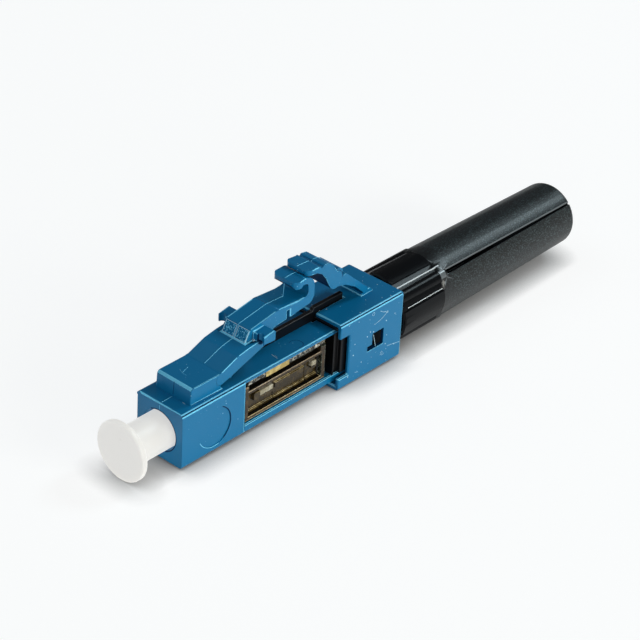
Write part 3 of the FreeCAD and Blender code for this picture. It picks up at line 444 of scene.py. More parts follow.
# The inside of the plug's mouth gets the deep blue, as painted shade.
moulding("plug_housing", "connector", blue_plastic, blue_highlight_and_wear, PLUG_EDGE,
         PLUG_FINE_EDGE, line_finish=blue_painted_shade, patches=[
             (blue_painted_shade, lambda c, n: c.x < MOUTH_DEPTH and abs(n.x) < 0.5
              and math.hypot(c.y, c.z) < MOUTH_ROUND + 0.02)])


def finished(grid, name, finish, body):
    """Makes a scene piece of a mesh that was built in place."""
    bmesh.ops.recalc_face_normals(grid, faces=grid.faces)
    mesh = bpy.data.meshes.new(name)
    grid.to_mesh(mesh)
    grid.free()
    mesh.materials.append(finish)
    piece = bpy.data.objects.new(name, mesh)
    bpy.context.scene.collection.objects.link(piece)
    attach(piece, body)


def add_ridge(grid, hits, half, height, across=None):
    """A low three-sided ridge that follows points on a skin, closed at both ends."""
    rings = []
    for i, (place, normal) in enumerate(hits):
        before = hits[max(i - 1, 0)][0]
        after = hits[min(i + 1, len(hits) - 1)][0]
        side = across or normal.cross(after - before).normalized()
        rings.append([grid.verts.new(place - side * half - normal * height / 2),
                      grid.verts.new(place + normal * height),
                      grid.verts.new(place + side * half - normal * height / 2)])
    for first, second in zip(rings, rings[1:]):
        for i in range(3):
            k = (i + 1) % 3
            grid.faces.new((first[i], first[k], second[k], second[i]))
    grid.faces.new(rings[0])
    grid.faces.new(list(reversed(rings[-1])))


MARK_HEIGHT = 0.012


def scratch(grid, places, normal, half, height=MARK_HEIGHT):
    """A fine scratch on a flat face. Its places and sizes are in millimetres."""
    add_ridge(grid, [(Vector(place) * MM, normal) for place in places], half * MM, height * MM)


def turns_between(first, last, count):
    """Evenly spaced turns in radians, between two turns in degrees."""
    return [math.radians(first + (last - first) * i / count) for i in range(count + 1)]


UP = Vector((0, 0, 1))
NEARWARD = Vector((0, -1, 0))
FORWARD = Vector((-1, 0, 0))
PLUG_HALF = 2.25
plug_marks = bmesh.new()
for places, half, height in (
        ([(9.99, -1.16), (9.95, -1.5), (9.94, -1.76)], 0.05, 0.03),
        ([(10.1, -1.35), (10.05, -1.62)], 0.025, 0.02),
        ([(1.2, -1.0), (1.22, -1.3)], 0.02, MARK_HEIGHT)):
    scratch(plug_marks, [(x, y, PLUG_HALF) for x, y in places], UP, half, height)
finished(plug_marks, "plug_gate_mark", pale_scuff_and_highlight, "connector")

MARK_MIDDLE = Vector((3.2, -PLUG_HALF, -0.2))
MARK_ROUND = 1.6
PLUG_WINDOW_X = 6.15
MOUTH_RIM = 1.66
# The round mark is drawn as a pale arc, a painted highlight, and a dark arc, painted shade; a pale
# line at the window's front edge is a painted highlight, and a dark arc round the mouth's rim is
# painted shade.
mark_rim = bmesh.new()
mark_shade = bmesh.new()
for grid, first, last, half in ((mark_rim, 205, 285, 0.03), (mark_shade, -55, 62, 0.05)):
    scratch(grid, [MARK_MIDDLE + Vector((math.cos(turn), 0, math.sin(turn))) * MARK_ROUND
                   for turn in turns_between(first, last, 20)], NEARWARD, half)
scratch(mark_rim, [(PLUG_WINDOW_X, -PLUG_HALF, 1.95), (PLUG_WINDOW_X, -PLUG_HALF, -2.05)],
        NEARWARD, 0.03)
scratch(mark_shade, [(0, -math.cos(turn) * MOUTH_RIM, math.sin(turn) * MOUTH_RIM)
                     for turn in turns_between(-70, 120, 24)], FORWARD, 0.055)
finished(mark_rim, "plug_mark_rim", blue_highlight_and_wear, "connector")
finished(mark_shade, "plug_mark_shade", blue_painted_shade, "connector")

PIN_MIDDLE = Vector((12.25, -1.42, PLUG_HALF))
PIN_ROUND = 0.52
# The pin mark on the plug's top is drawn as a dark ring in the painted-shade blue.
pin_rim = bmesh.new()
scratch(pin_rim, [PIN_MIDDLE + Vector((math.cos(turn), math.sin(turn), 0)) * PIN_ROUND
                  for turn in turns_between(-110, 120, 20)], UP, 0.03)
finished(pin_rim, "plug_pin_mark", blue_painted_shade, "connector")


# The latch lever: it springs up from the plug's top, locks by its two shoulders
# and ends in a curl that the trigger presses. The mould's halves met along its
# middle and left a parting line, and its ramp is spark-textured in two squares.
LATCH_EDGE = 0.09 * MM
SHOULDER_REAR_X = 8.2
SHOULDER_FOOT_Z = 4.3
SEAM_HALF = 0.035 * MM
SEAM_HEIGHT = 0.022 * MM
SEAM_STEP = 0.12 * MM
# Its undersides and the near face of its ramp beside the shoulder get the deep blue, as painted
# shade.
moulding("latch_lever", "latch", blue_plastic, blue_highlight_and_wear, LATCH_EDGE,
         all_round=True, patches=[
             (blue_painted_shade, lambda c, n: n.z < -0.3),
             (blue_painted_shade, lambda c, n: n.y < -0.85 and -1.66 < c.y < -0.9
              and c.x < SHOULDER_REAR_X and c.z > SHOULDER_FOOT_Z)])


def skin_points(node, starts, direction):
    """Where rays from the starts meet a CAD node's skin, with the normals there."""
    grid = merged_copy(node)
    bmesh.ops.triangulate(grid, faces=grid.faces)
    tree = BVHTree.FromBMesh(grid)
    grid.free()
    hits = []
    for start in starts:
        place, normal = tree.ray_cast(start, direction)[:2]
        if place is not None:
            hits.append((place, normal))
    return hits


def steps(low, high, step):
    """Evenly spaced values from low to high."""
    count = max(2, round((high - low) / step))
    return [low + (high - low) * i / count for i in range(count + 1)]


DOWN = Vector((0, 0, -1))
BACKWARD = Vector((1, 0, 0))
ACROSS = Vector((0, 1, 0))


def front_seam(name, node, body, low, high, finish):
    """A parting line up the middle of a moulding's front."""
    starts = [Vector((-MM, 0, z)) for z in steps(low, high, SEAM_STEP)]
    grid = bmesh.new()
    add_ridge(grid, skin_points(node, starts, BACKWARD), SEAM_HALF, SEAM_HEIGHT, ACROSS)
    finished(grid, name, finish, body)


def top_seam(name, node, body, low, high):
    """A parting line along the middle of a moulding's top, drawn pale as a painted highlight."""
    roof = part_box(node)[1].z + MM
    starts = [Vector((x, 0, roof)) for x in steps(low, high, SEAM_STEP)]
    grid = bmesh.new()
    add_ridge(grid, skin_points(node, starts, DOWN), SEAM_HALF, SEAM_HEIGHT, ACROSS)
    finished(grid, name, blue_highlight_and_wear, body)


latch_low, latch_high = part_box("latch_lever")
top_seam("latch_seam", "latch_lever", "latch", latch_low.x + 0.5 * MM, latch_high.x - 0.5 * MM)
top_seam("plug_front_seam", "plug_housing", "connector", 0.2 * MM, 1.2 * MM)
# The parting line on the plug's face is drawn pale, as a painted highlight, and the one up the
# nose dark.
front_seam("plug_face_seam", "plug_housing", "connector", 1.75 * MM, 2.1 * MM, blue_highlight_and_wear)
front_seam("plug_nose_seam", "plug_housing", "connector", 2.4 * MM, 3.4 * MM, blue_painted_shade)

nose_scuffs = bmesh.new()
for ends in (((2.52, 0.59), (2.37, 0.04), (2.4, -0.2)), ((2.36, 0.23), (2.8, 0.36), (3.18, 0.47))):
    starts = [Vector((x * MM, y * MM, latch_high.z)) for x, y in ends]
    add_ridge(nose_scuffs, skin_points("plug_housing", starts, DOWN), 0.02 * MM, 0.015 * MM)
finished(nose_scuffs, "nose_scuffs", blue_highlight_and_wear, "connector")


# The ramp of the latch: the mould was spark-eroded there in two squares, one on
# each side of the parting line, which came out rough with a low raised border.
RAMP_LOW = 4.47 * MM
RAMP_HIGH = 5.27 * MM
RAMP_INNER = 0.09 * MM
RAMP_OUTER = 1.09 * MM
RAMP_FRONT = 5.5 * MM
BORDER_HALF = 0.03 * MM
BORDER_HEIGHT = 0.02 * MM


def ramp_hits(places):
    """Where the ramp's skin lies, for (y, z) places seen from the front."""
    starts = [Vector((RAMP_FRONT, y, z)) for y, z in places]
    return skin_points("latch_lever", starts, BACKWARD)


bottom, top = ramp_hits([(RAMP_OUTER, RAMP_LOW), (RAMP_OUTER, RAMP_HIGH)])
up_ramp = (top[0] - bottom[0]).normalized()
border = bmesh.new()
for side in (-1, 1):
    for level in (RAMP_LOW, RAMP_HIGH):
        line = ramp_hits([(side * RAMP_INNER, level), (side * RAMP_OUTER, level)])
        add_ridge(border, line, BORDER_HALF, BORDER_HEIGHT, up_ramp)
    for width in (RAMP_INNER, RAMP_OUTER):
        line = ramp_hits([(side * width, RAMP_LOW), (side * width, RAMP_HIGH)])
        add_ridge(border, line, BORDER_HALF, BORDER_HEIGHT, ACROSS)
# The raised border is drawn pale, as a painted highlight.
finished(border, "ramp_border", pale_scuff_and_highlight, "latch")

GRAIN_SIZE = 0.05 * MM
GRAIN_FLATNESS = 0.35
GRAIN_COUNT = 130
GRAIN_SEED = 4


def scatter_tree(name, finish):
    """Geometry Nodes: low grains strewn over a surface, flat on it."""
    tree = bpy.data.node_groups.new(name, "GeometryNodeTree")
    tree.interface.new_socket("Surface", in_out="INPUT", socket_type="NodeSocketGeometry")
    tree.interface.new_socket("Grain Size", in_out="INPUT", socket_type="NodeSocketFloat")
    tree.interface.new_socket("Flatness", in_out="INPUT", socket_type="NodeSocketFloat")
    tree.interface.new_socket("Grains per Area", in_out="INPUT", socket_type="NodeSocketFloat")
    tree.interface.new_socket("Seed", in_out="INPUT", socket_type="NodeSocketInt")
    tree.interface.new_socket("Grains", in_out="OUTPUT", socket_type="NodeSocketGeometry")
    nodes, links = tree.nodes, tree.links
    source = nodes.new("NodeGroupInput")
    result = nodes.new("NodeGroupOutput")
    points = nodes.new("GeometryNodeDistributePointsOnFaces")
    links.new(source.outputs["Surface"], points.inputs["Mesh"])
    links.new(source.outputs["Grains per Area"], points.inputs["Density"])
    links.new(source.outputs["Seed"], points.inputs["Seed"])
    grain = nodes.new("GeometryNodeMeshIcoSphere")
    grain.inputs["Subdivisions"].default_value = 1
    links.new(source.outputs["Grain Size"], grain.inputs["Radius"])
    scale = nodes.new("FunctionNodeRandomValue")
    scale.inputs[2].default_value = 0.4
    scale.inputs[3].default_value = 1.1
    links.new(source.outputs["Seed"], scale.inputs["Seed"])
    flat = nodes.new("ShaderNodeCombineXYZ")
    flat.inputs["X"].default_value = 1
    flat.inputs["Y"].default_value = 1
    links.new(source.outputs["Flatness"], flat.inputs["Z"])
    sized = nodes.new("ShaderNodeVectorMath")
    sized.operation = "SCALE"
    links.new(flat.outputs["Vector"], sized.inputs[0])
    links.new(scale.outputs[1], sized.inputs["Scale"])
    strewn = nodes.new("GeometryNodeInstanceOnPoints")
    links.new(points.outputs["Points"], strewn.inputs["Points"])
    links.new(grain.outputs["Mesh"], strewn.inputs["Instance"])
    links.new(points.outputs["Rotation"], strewn.inputs["Rotation"])
    links.new(sized.outputs["Vector"], strewn.inputs["Scale"])
    real = nodes.new("GeometryNodeRealizeInstances")
    links.new(strewn.outputs["Instances"], real.inputs["Geometry"])
    painted = nodes.new("GeometryNodeSetMaterial")
    painted.inputs["Material"].default_value = finish
    links.new(real.outputs["Geometry"], painted.inputs["Geometry"])
    links.new(painted.outputs["Geometry"], result.inputs["Grains"])
    return tree


def strew(grid, name, finish, body, size, flatness, per_area, seed):
    """Strews grains over a mesh and keeps only the grains, as a plain piece."""
    mesh = bpy.data.meshes.new(name)
    grid.to_mesh(mesh)
    grid.free()
    piece = bpy.data.objects.new(name, mesh)
    bpy.context.scene.collection.objects.link(piece)
    tree = scatter_tree(name, finish)
    strewing = piece.modifiers.new("strewing", "NODES")
    strewing.node_group = tree
    values = {"Grain Size": size, "Flatness": flatness, "Grains per Area": per_area, "Seed": seed}
    for socket in tree.interface.items_tree:
        if socket.in_out == "INPUT" and socket.name in values:
            strewing[socket.identifier] = values[socket.name]
    shown = piece.evaluated_get(bpy.context.evaluated_depsgraph_get())
    piece.data = bpy.data.meshes.new_from_object(shown)
    piece.modifiers.clear()
    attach(piece, body)


ramp_squares = bmesh.new()
for side in (-1, 1):
    corners = [(side * RAMP_INNER, RAMP_LOW), (side * RAMP_OUTER, RAMP_LOW),
               (side * RAMP_OUTER, RAMP_HIGH), (side * RAMP_INNER, RAMP_HIGH)]
    ring = [ramp_squares.verts.new(place) for place, normal in ramp_hits(corners)]
    ramp_squares.faces.new(ring if side < 0 else list(reversed(ring)))
ramp_area = 2 * (RAMP_OUTER - RAMP_INNER) * (top[0] - bottom[0]).length
# The grains stand for the squares' rough texture, and their pale colour is a painted highlight.
strew(ramp_squares, "ramp_grain", blue_highlight_and_wear, "latch", GRAIN_SIZE, GRAIN_FLATNESS,
      GRAIN_COUNT / ramp_area, GRAIN_SEED)


# Each shoulder of the latch has a round pit at its foot, where a pin pushed the lever
# out of its mould. The pit is drawn as a low dark cone, its shade painted, with a small
# pale cone beside it.
PIT_ROUND = 0.27 * MM
NICK_ROUND = 0.17 * MM
PIT_DEPTH = 0.12 * MM
pits = bmesh.new()
nicks = bmesh.new()
for side in (-1, 1):
    for grid, place, normal, size in (
            (pits, (8.16, side * 1.66, 4.49), (-0.08, side * 0.54, 0.84), PIT_ROUND),
            (nicks, (7.9, side * 1.27, 4.49), (-0.09, 0, 1), NICK_ROUND)):
        turn = Vector(normal).to_track_quat("Z", "Y").to_matrix().to_4x4()
        bmesh.ops.create_cone(grid, cap_ends=True, segments=20, radius1=size,
                              radius2=size * 0.5, depth=PIT_DEPTH,
                              matrix=Matrix.Translation(Vector(place) * MM) @ turn)
finished(pits, "shoulder_pits", blue_painted_shade, "latch")
finished(nicks, "shoulder_nicks", pale_scuff_and_highlight, "latch")


# The lock sleeve: the blue box that slides over the body and snaps onto its hooks,
# moulded with the trigger's foot. It was handled most, so it carries the most specks
# and hairline scratches.
SLEEVE_EDGE = 0.12 * MM
SLEEVE_FINE_EDGE = 0.08 * MM
WINDOW_LOW = Vector((18.3, -2.81, -1.1))
WINDOW_HIGH = Vector((20.9, 2.81, 1.0))


def by_window(place):
    """True near the windows that the body's hooks snap into, for a place in millimetres."""
    return all(WINDOW_LOW[i] < place[i] < WINDOW_HIGH[i] for i in range(3))


# The walls inside its windows get the deep blue, as painted shade.
moulding("lock_sleeve", "connector", blue_plastic, blue_highlight_and_wear, SLEEVE_EDGE,
         SLEEVE_FINE_EDGE, line_finish=blue_painted_shade, crisp=by_window,
         patches=[(blue_painted_shade, lambda c, n: by_window(c) and abs(n.y) < 0.3 and abs(c.y) < 2.74)])
SPECK_SIZE = 0.058 * MM
SPECK_FLATNESS = 0.25
SPECKS_PER_AREA = 0.75 / MM ** 2
SPECK_SEED = 11
SMALL_FACE = 4 * MM ** 2
sleeve_skin = merged_copy("lock_sleeve")
sleeve_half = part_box("lock_sleeve")[1].y
inward = [face for face in sleeve_skin.faces if face.calc_area() < SMALL_FACE
          or (abs(face.calc_center_median().y) < sleeve_half - 0.01 * MM and face.normal.z < 0.9)]
bmesh.ops.delete(sleeve_skin, geom=inward, context="FACES")
strew(sleeve_skin, "sleeve_specks", pale_scuff_and_highlight, "connector", SPECK_SIZE,
      SPECK_FLATNESS, SPECKS_PER_AREA, SPECK_SEED)

SLEEVE_NEAR_Y = -2.8
SCRATCH_HALF = 0.02
sleeve_scratches = bmesh.new()
for places in ([(19.3, 1.44), (19.75, 1.5), (20.13, 1.6), (20.5, 1.8), (20.8, 2.02)],
               [(20.97, -1.18), (21.7, -1.32), (22.45, -1.47)],
               [(19.9, 2.35), (20.25, 2.12), (20.6, 2.0)],
               [(20.2, -1.62), (20.4, -1.75), (20.65, -1.68)],
               [(17.4, -1.95), (17.75, -2.02)]):
    scratch(sleeve_scratches, [(x, SLEEVE_NEAR_Y, z) for x, z in places], NEARWARD, SCRATCH_HALF)
for middle_x, middle_z, size in ((19.14, 2.42, 0.13), (20.35, -1.5, 0.1), (20.72, 1.93, 0.08)):
    chip = [(middle_x + size * math.cos(turn), SLEEVE_NEAR_Y, middle_z + size * math.sin(turn))
            for turn in turns_between(0, 360, 12)]
    scratch(sleeve_scratches, chip, NEARWARD, SCRATCH_HALF)
finished(sleeve_scratches, "sleeve_scratches", pale_scuff_and_highlight, "connector")


# The trigger: a finger of the same blue polymer, moulded with the box. It bends at
# its foot and reaches forward over the latch's curl, which it presses down.
TRIGGER_EDGE = 0.08 * MM
# Its undersides get the deep blue, as painted shade.
moulding("trigger", "trigger", blue_plastic, blue_highlight_and_wear, TRIGGER_EDGE,
         all_round=True, patches=[(blue_painted_shade, lambda c, n: n.z < -0.3 and abs(n.y) < 0.3)])
# A dark arc along the knuckle's rim on its near side is painted shade.
KNUCKLE_MIDDLE = Vector((16.73, -5, 5.73))
KNUCKLE_ROUND = 0.66
SHADE_HALF = 0.035 * MM
shade = bmesh.new()
starts = [(KNUCKLE_MIDDLE + Vector((math.cos(turn), 0, math.sin(turn))) * KNUCKLE_ROUND) * MM
          for turn in turns_between(83, -68, 16)]
add_ridge(shade, skin_points("trigger", starts, ACROSS), SHADE_HALF, MARK_HEIGHT * MM)
finished(shade, "knuckle_shade", blue_painted_shade, "trigger")
tip_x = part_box("trigger")[0].x
top_seam("trigger_seam", "trigger", "trigger", tip_x + 0.1 * MM, tip_x + 2.6 * MM)


# The dust cap: a soft white polymer stopper with a round disc to pull it by. It is
# pushed over the ferrule's tip to keep it clean, and light sinks into it a little.
# It is also given a painted glow, which lifts its shaded sides.
CAP_WHITE = srgb(140, 138, 134)
CAP_WORN = srgb(116, 114, 108)
CAP_PAINTED_GLOW = 0.59
cap_white = polymer("cap_white", CAP_WHITE, CAP_WORN, 0.45, 0.004 * MM, 0.9 * MM, 0.15 * MM, 0.4)
shader = cap_white.node_tree.nodes["Principled BSDF"]
shader.inputs["Subsurface Weight"].default_value = 1
shader.inputs["Subsurface Radius"].default_value = (1.0, 0.9, 0.8)
shader.inputs["Subsurface Scale"].default_value = 1.0 * MM
shader.inputs["Emission Color"].default_value = (1, 0.985, 0.96, 1)
shader.inputs["Emission Strength"].default_value = CAP_PAINTED_GLOW
moulding("dust_cap", "cap", cap_white, crease=math.radians(50))


# The ferrule, its holder and the glass stub, on the connector's axis: polished
# ceramic, a turned and nickel-plated holder, and bare fibre fixed in the bore.
ceramic, nodes, links, shader = new_material("ferrule_ceramic")
shader.inputs["Base Color"].default_value = srgb(240, 238, 230)
shader.inputs["Roughness"].default_value = 0.15
glass, nodes, links, shader = new_material("fibre_glass")
shader.inputs["Base Color"].default_value = srgb(220, 232, 235)
shader.inputs["Roughness"].default_value = 0.05
nickel, nodes, links, shader = new_material("holder_nickel")
shader.inputs["Base Color"].default_value = srgb(178, 174, 166)
shader.inputs["Metallic"].default_value = 1
shader.inputs["Roughness"].default_value = 0.25


def dress(node, material):
    """Gives a CAD node that stays as it is its material."""
    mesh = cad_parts[node].data
    mesh.materials.clear()
    mesh.materials.append(material)


dress("fibre_stub", glass)
moulding("ferrule", "ferrule_set", ceramic)
moulding("ferrule_holder", "ferrule_set", nickel)


# The mechanical splice behind the windows: a base of clear brown polymer with three
# lids that press on the fibre, and the toothed slider that is pushed on to clamp them.
SPLICE_EDGE = 0.05 * MM


def clear_depths():
    """Shader group: random light and dark patches, painted to stand for the depth and reflections
    seen in a clear polymer.
    """
    group, source, result = new_group("clear_depths", "Patch Size")
    group.interface.new_socket("Mask", in_out="OUTPUT", socket_type="NodeSocketFloat")
    nodes, links = group.nodes, group.links
    place = nodes.new("ShaderNodeTexCoord")
    cloud = nodes.new("ShaderNodeTexNoise")
    cloud.inputs["Detail"].default_value = 3
    cloud.inputs["Distortion"].default_value = 1.2
    links.new(place.outputs["Object"], cloud.inputs["Vector"])
    links.new(scale_for(nodes, links, source.outputs["Patch Size"]), cloud.inputs["Scale"])
    patch = nodes.new("ShaderNodeMapRange")
    patch.inputs["From Min"].default_value = 0.46
    patch.inputs["From Max"].default_value = 0.72
    links.new(cloud.outputs["Fac"], patch.inputs["Value"])
    links.new(patch.outputs["Result"], result.inputs["Mask"])
    return group


depths = clear_depths()


def amber_polymer(name, deep, light, roughness, patch_size):
    """A brown polymer with painted random light and dark patches that stand for the depth and
    reflections of a clear polymer.
    """
    material, nodes, links, shader = new_material(name)
    cloud = nodes.new("ShaderNodeGroup")
    cloud.node_tree = depths
    cloud.inputs["Patch Size"].default_value = patch_size
    tint = nodes.new("ShaderNodeMix")
    tint.data_type = "RGBA"
    tint.inputs["A"].default_value = deep
    tint.inputs["B"].default_value = light
    links.new(cloud.outputs["Mask"], tint.inputs["Factor"])
    links.new(tint.outputs["Result"], shader.inputs["Base Color"])
    scuffs = nodes.new("ShaderNodeGroup")
    scuffs.node_tree = marks
    scuffs.inputs["Speck Size"].default_value = 0.3 * MM
    scuffs.inputs["Grain Size"].default_value = 0.12 * MM
    scuffs.inputs["Amount"].default_value = 0
    relief = nodes.new("ShaderNodeBump")
    relief.inputs["Distance"].default_value = 0.008 * MM
    links.new(scuffs.outputs["Height"], relief.inputs["Height"])
    links.new(relief.outputs["Normal"], shader.inputs["Normal"])
    shader.inputs["Roughness"].default_value = roughness
    shader.inputs["Specular IOR Level"].default_value = 0.3
    return material


# The splice base's edges that face the lamps are painted pale as highlights, its far and inner
# faces dark as painted shade, and its near lower rail pale as a painted highlight.
amber = amber_polymer("splice_amber", srgb(50, 37, 18), srgb(86, 65, 38), 0.25, 0.9 * MM)
amber_edge_highlight = amber_polymer("amber_edge_highlight", srgb(146, 126, 102), srgb(190, 172, 146), 0.2, 0.6 * MM)
amber_painted_shade = amber_polymer("amber_painted_shade", srgb(7, 6, 4), srgb(40, 32, 20), 0.3, 0.3 * MM)
amber_rail_highlight = amber_polymer("amber_rail_highlight", srgb(176, 152, 106), srgb(232, 214, 170), 0.25, 1.2 * MM)
amber_clear = amber_polymer("amber_clear", srgb(18, 22, 17), srgb(112, 116, 98), 0.2, 0.22 * MM)
tray_depth_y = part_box("splice_base")[0].y / MM + 0.2
lids_low_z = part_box("splice_lid_middle")[0].z / MM
lids_end_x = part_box("splice_lid_rear")[1].x / MM
moulding("splice_base", "ferrule_set", amber, amber_edge_highlight, SPLICE_EDGE, patches=[
    (amber_painted_shade, lambda c, n: c.y > tray_depth_y),
    (amber_rail_highlight, lambda c, n: c.y < tray_depth_y and c.z < lids_low_z),
    (amber_clear, lambda c, n: lids_end_x + 0.15 < c.x < lids_end_x + 0.6)])

LID_EDGE = 0.04 * MM
PAD_FRONT_X = 8.12
PAD_BOTTOM_Z = -0.02
NO_PAD_Y = -9
# The lids' edges that face the lamps are painted pale as highlights.
lid_amber = amber_polymer("lid_amber", srgb(46, 36, 16), srgb(82, 66, 36), 0.25, 0.8 * MM)
lid_edge_highlight = amber_polymer("lid_edge_highlight", srgb(112, 96, 62), srgb(196, 174, 122), 0.2, 0.8 * MM)
lid_pad = amber_polymer("lid_pad", srgb(150, 141, 118), srgb(212, 206, 190), 0.35, 0.3 * MM)
for lid in ("splice_lid_front", "splice_lid_middle", "splice_lid_rear"):
    pad_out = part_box(lid)[0].y / MM + 0.15 if lid != "splice_lid_middle" else NO_PAD_Y
    moulding(lid, "ferrule_set", lid_amber, lid_edge_highlight, LID_EDGE,
             patches=[(lid_pad, lambda c, n: c.y < pad_out and c.z > PAD_BOTTOM_Z
                       and c.x > PAD_FRONT_X)],
             cuts=[(BACKWARD * PAD_FRONT_X * MM, BACKWARD), (UP * PAD_BOTTOM_Z * MM, UP)])

slider_amber = amber_polymer("slider_amber", srgb(12, 10, 6), srgb(225, 220, 205), 0.3, 0.26 * MM)
slider_edge = amber_polymer("slider_edge", srgb(18, 15, 10), srgb(225, 220, 200), 0.25, 0.24 * MM)
slider_yellow = amber_polymer("slider_yellow", srgb(176, 150, 86), srgb(226, 204, 140), 0.3,
                              0.5 * MM)
SLIDER_EDGE = 0.03 * MM
slider_low, slider_high = [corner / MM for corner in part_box("clamp_slider")]
moulding("clamp_slider", "ferrule_set", slider_amber, slider_edge, SLIDER_EDGE,
         patches=[(slider_yellow,
                   lambda c, n: c.y < slider_low.y + 0.02 or c.x > slider_high.x - 1)])


# The spring that pushes the splice and its ferrule forward: a coil of drawn steel
# wire, held between the splice's rear end and a seat inside the body.
steel, nodes, links, shader = new_material("spring_steel")
shader.inputs["Base Color"].default_value = srgb(160, 160, 160)
shader.inputs["Metallic"].default_value = 1
shader.inputs["Roughness"].default_value = 0.3
dress("float_spring", steel)


# The black body inside the blue box, with its thin fin over the plug, its snap hooks
# and its slit neck, and the funnel that leads the fibre in: black polymer mouldings.
BODY_EDGE = 0.04 * MM
HOOK_FRONT_X = 19.2
HOOK_REAR_X = 20.9
HOOK_SIDE_Y = 2.4
body_black = polymer("body_black", srgb(10, 10, 12), srgb(60, 62, 66), 0.3, 0.003 * MM,
                     0.3 * MM, 0.08 * MM, 0.5, specular=0.25)
body_edge_highlight = polymer("body_edge_highlight", srgb(40, 42, 46), srgb(90, 92, 96), 0.22, 0.001 * MM,
                    0.3 * MM, 0.08 * MM, 0.5)
body_shadow = polymer("body_shadow", srgb(3, 5, 9), srgb(8, 10, 14), 0.6, 0.001 * MM,
                      0.3 * MM, 0.08 * MM, 0, specular=0.05)
# Its edges that face the lamps are painted grey as highlights, and its hooks' faces in the windows
# get the near-black, as painted shadow.
moulding("main_body", "connector", body_black, body_edge_highlight, BODY_EDGE, patches=[
    (body_shadow, lambda c, n: abs(c.y) > HOOK_SIDE_Y and HOOK_FRONT_X < c.x < HOOK_REAR_X)])
# A pale line along the near hook's edge is a painted highlight.
hook_line = bmesh.new()
scratch(hook_line, [(19.43, -2.69, 0.44), (19.76, -2.69, -0.81)], NEARWARD, 0.022)
finished(hook_line, "hook_line", pale_scuff_and_highlight, "connector")
dress("fibre_guide", body_black)


# The tail sleeve: a black polymer tube that is pushed on over the neck. Its front
# was polished in the mould, and behind the ribs it is fine-textured. A dark web, put
# in as painted shade, fills most of each slit's depth behind the neck.
TAIL_EDGE = 0.13 * MM
POLISH_END = 27.55
TEXTURE_START = 27.3 * MM
TEXTURE_FULL = 29.3 * MM
DUST_AND_SPARKLE_GRAIN = 0.1 * MM
tail_black = polymer("tail_black", srgb(8, 10, 13), srgb(40, 44, 46), 0.3, 0.006 * MM,
                     0.22 * MM, 0.08 * MM, 0.6, specular=0.36)
nodes = tail_black.node_tree.nodes
links = tail_black.node_tree.links
shader = nodes["Principled BSDF"]
place = nodes.new("ShaderNodeTexCoord")
along = nodes.new("ShaderNodeSeparateXYZ")
links.new(place.outputs["Object"], along.inputs["Vector"])
textured = nodes.new("ShaderNodeMapRange")
textured.inputs["From Min"].default_value = TEXTURE_START
textured.inputs["From Max"].default_value = TEXTURE_FULL
links.new(along.outputs["X"], textured.inputs["Value"])
roughness = nodes.new("ShaderNodeMapRange")
roughness.inputs["To Min"].default_value = 0.27
roughness.inputs["To Max"].default_value = 0.4
links.new(textured.outputs["Result"], roughness.inputs["Value"])
links.new(roughness.outputs["Result"], shader.inputs["Roughness"])
# Behind the ribs, pale grains stand for dust on the texture and, in part, for painted sparkle of
# light on its grain.
grains = nodes.new("ShaderNodeTexNoise")
grains.inputs["Scale"].default_value = 1 / DUST_AND_SPARKLE_GRAIN
grains.inputs["Detail"].default_value = 2
links.new(place.outputs["Object"], grains.inputs["Vector"])
sparkle = nodes.new("ShaderNodeMapRange")
sparkle.inputs["From Min"].default_value = 0.5
sparkle.inputs["From Max"].default_value = 0.66
links.new(grains.outputs["Fac"], sparkle.inputs["Value"])
dust_and_sparkle_amount = nodes.new("ShaderNodeMath")
dust_and_sparkle_amount.operation = "MULTIPLY"
links.new(sparkle.outputs["Result"], dust_and_sparkle_amount.inputs[0])
links.new(textured.outputs["Result"], dust_and_sparkle_amount.inputs[1])
dust_and_sparkle_colour = nodes.new("ShaderNodeMix")
dust_and_sparkle_colour.data_type = "RGBA"
links.new(shader.inputs["Base Color"].links[0].from_socket, dust_and_sparkle_colour.inputs["A"])
dust_and_sparkle_colour.inputs["B"].default_value = srgb(60, 72, 75)
links.new(dust_and_sparkle_amount.outputs[0], dust_and_sparkle_colour.inputs["Factor"])
links.new(dust_and_sparkle_colour.outputs["Result"], shader.inputs["Base Color"])
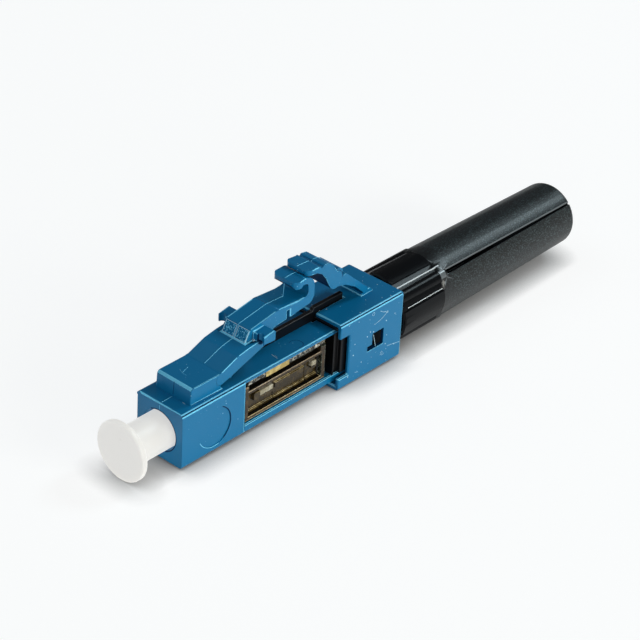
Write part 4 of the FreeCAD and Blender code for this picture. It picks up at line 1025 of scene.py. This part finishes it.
# The tail's edges that face the lamps are painted grey as highlights.
tail_edge_highlight = polymer("tail_edge_highlight", srgb(96, 101, 105), srgb(130, 134, 136), 0.25, 0.002 * MM,
                    0.22 * MM, 0.07 * MM, 0.5)
tail_smooth = polymer("tail_smooth", srgb(9, 11, 14), srgb(40, 44, 46), 0.27, 0.003 * MM,
                      0.22 * MM, 0.08 * MM, 0.6, specular=0.1)
moulding("tail_sleeve", "tail", tail_black, tail_edge_highlight, TAIL_EDGE,
         patches=[(tail_smooth, lambda c, n: c.x < POLISH_END)],
         cuts=[(BACKWARD * POLISH_END * MM, BACKWARD)])

SLIT_TURN = 49
LINE_HEIGHT = 0.015 * MM
LINE_STEP = 0.25
OUTSIDE = 4
# Pale lines on the ribs beside two of the slits are painted highlights.
tail_shine = polymer("tail_shine", srgb(214, 220, 224), srgb(170, 175, 178), 0.35, 0.002 * MM,
                     0.22 * MM, 0.07 * MM, 0.4)
rib_highlight_lines = bmesh.new()
for quarter in range(2):
    for offset, first, last, half in ((-15.5, 23.2, 28.0, 0.07), (20.3, 23.4, 27.5, 0.045)):
        turn = math.radians(SLIT_TURN + 90 * quarter + offset)
        outward = Vector((0, math.cos(turn), math.sin(turn)))
        starts = [(outward * OUTSIDE + BACKWARD * x) * MM for x in steps(first, last, LINE_STEP)]
        add_ridge(rib_highlight_lines, skin_points("tail_sleeve", starts, -outward), half * MM, LINE_HEIGHT)
finished(rib_highlight_lines, "rib_highlight_lines", tail_shine, "tail")

WEB_FOOT = 1.64
WEB_TOP = 2.42
WEB_RIM_TOP = 2.3
WEB_WIDTH = 0.5
WEB_START = 34.5
WEB_INSET = 0.06
WEB_RIM_LENGTH = 0.2
web_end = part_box("tail_sleeve")[1].x / MM - WEB_INSET
web_step = web_end - WEB_RIM_LENGTH
slit_shade_webs = bmesh.new()
for quarter in range(4):
    turn = Matrix.Rotation(math.radians(SLIT_TURN + 90 * quarter), 4, "X")
    for first, last, top in ((WEB_START, web_step, WEB_TOP), (web_step, web_end, WEB_RIM_TOP)):
        middle = Vector(((first + last) / 2, (WEB_FOOT + top) / 2, 0)) * MM
        size = Matrix.Diagonal((last - first, top - WEB_FOOT, WEB_WIDTH, 1 / MM)) * MM
        bmesh.ops.create_cube(slit_shade_webs, size=1, matrix=turn @ Matrix.Translation(middle) @ size)
finished(slit_shade_webs, "slit_shade_webs", body_shadow, "tail")
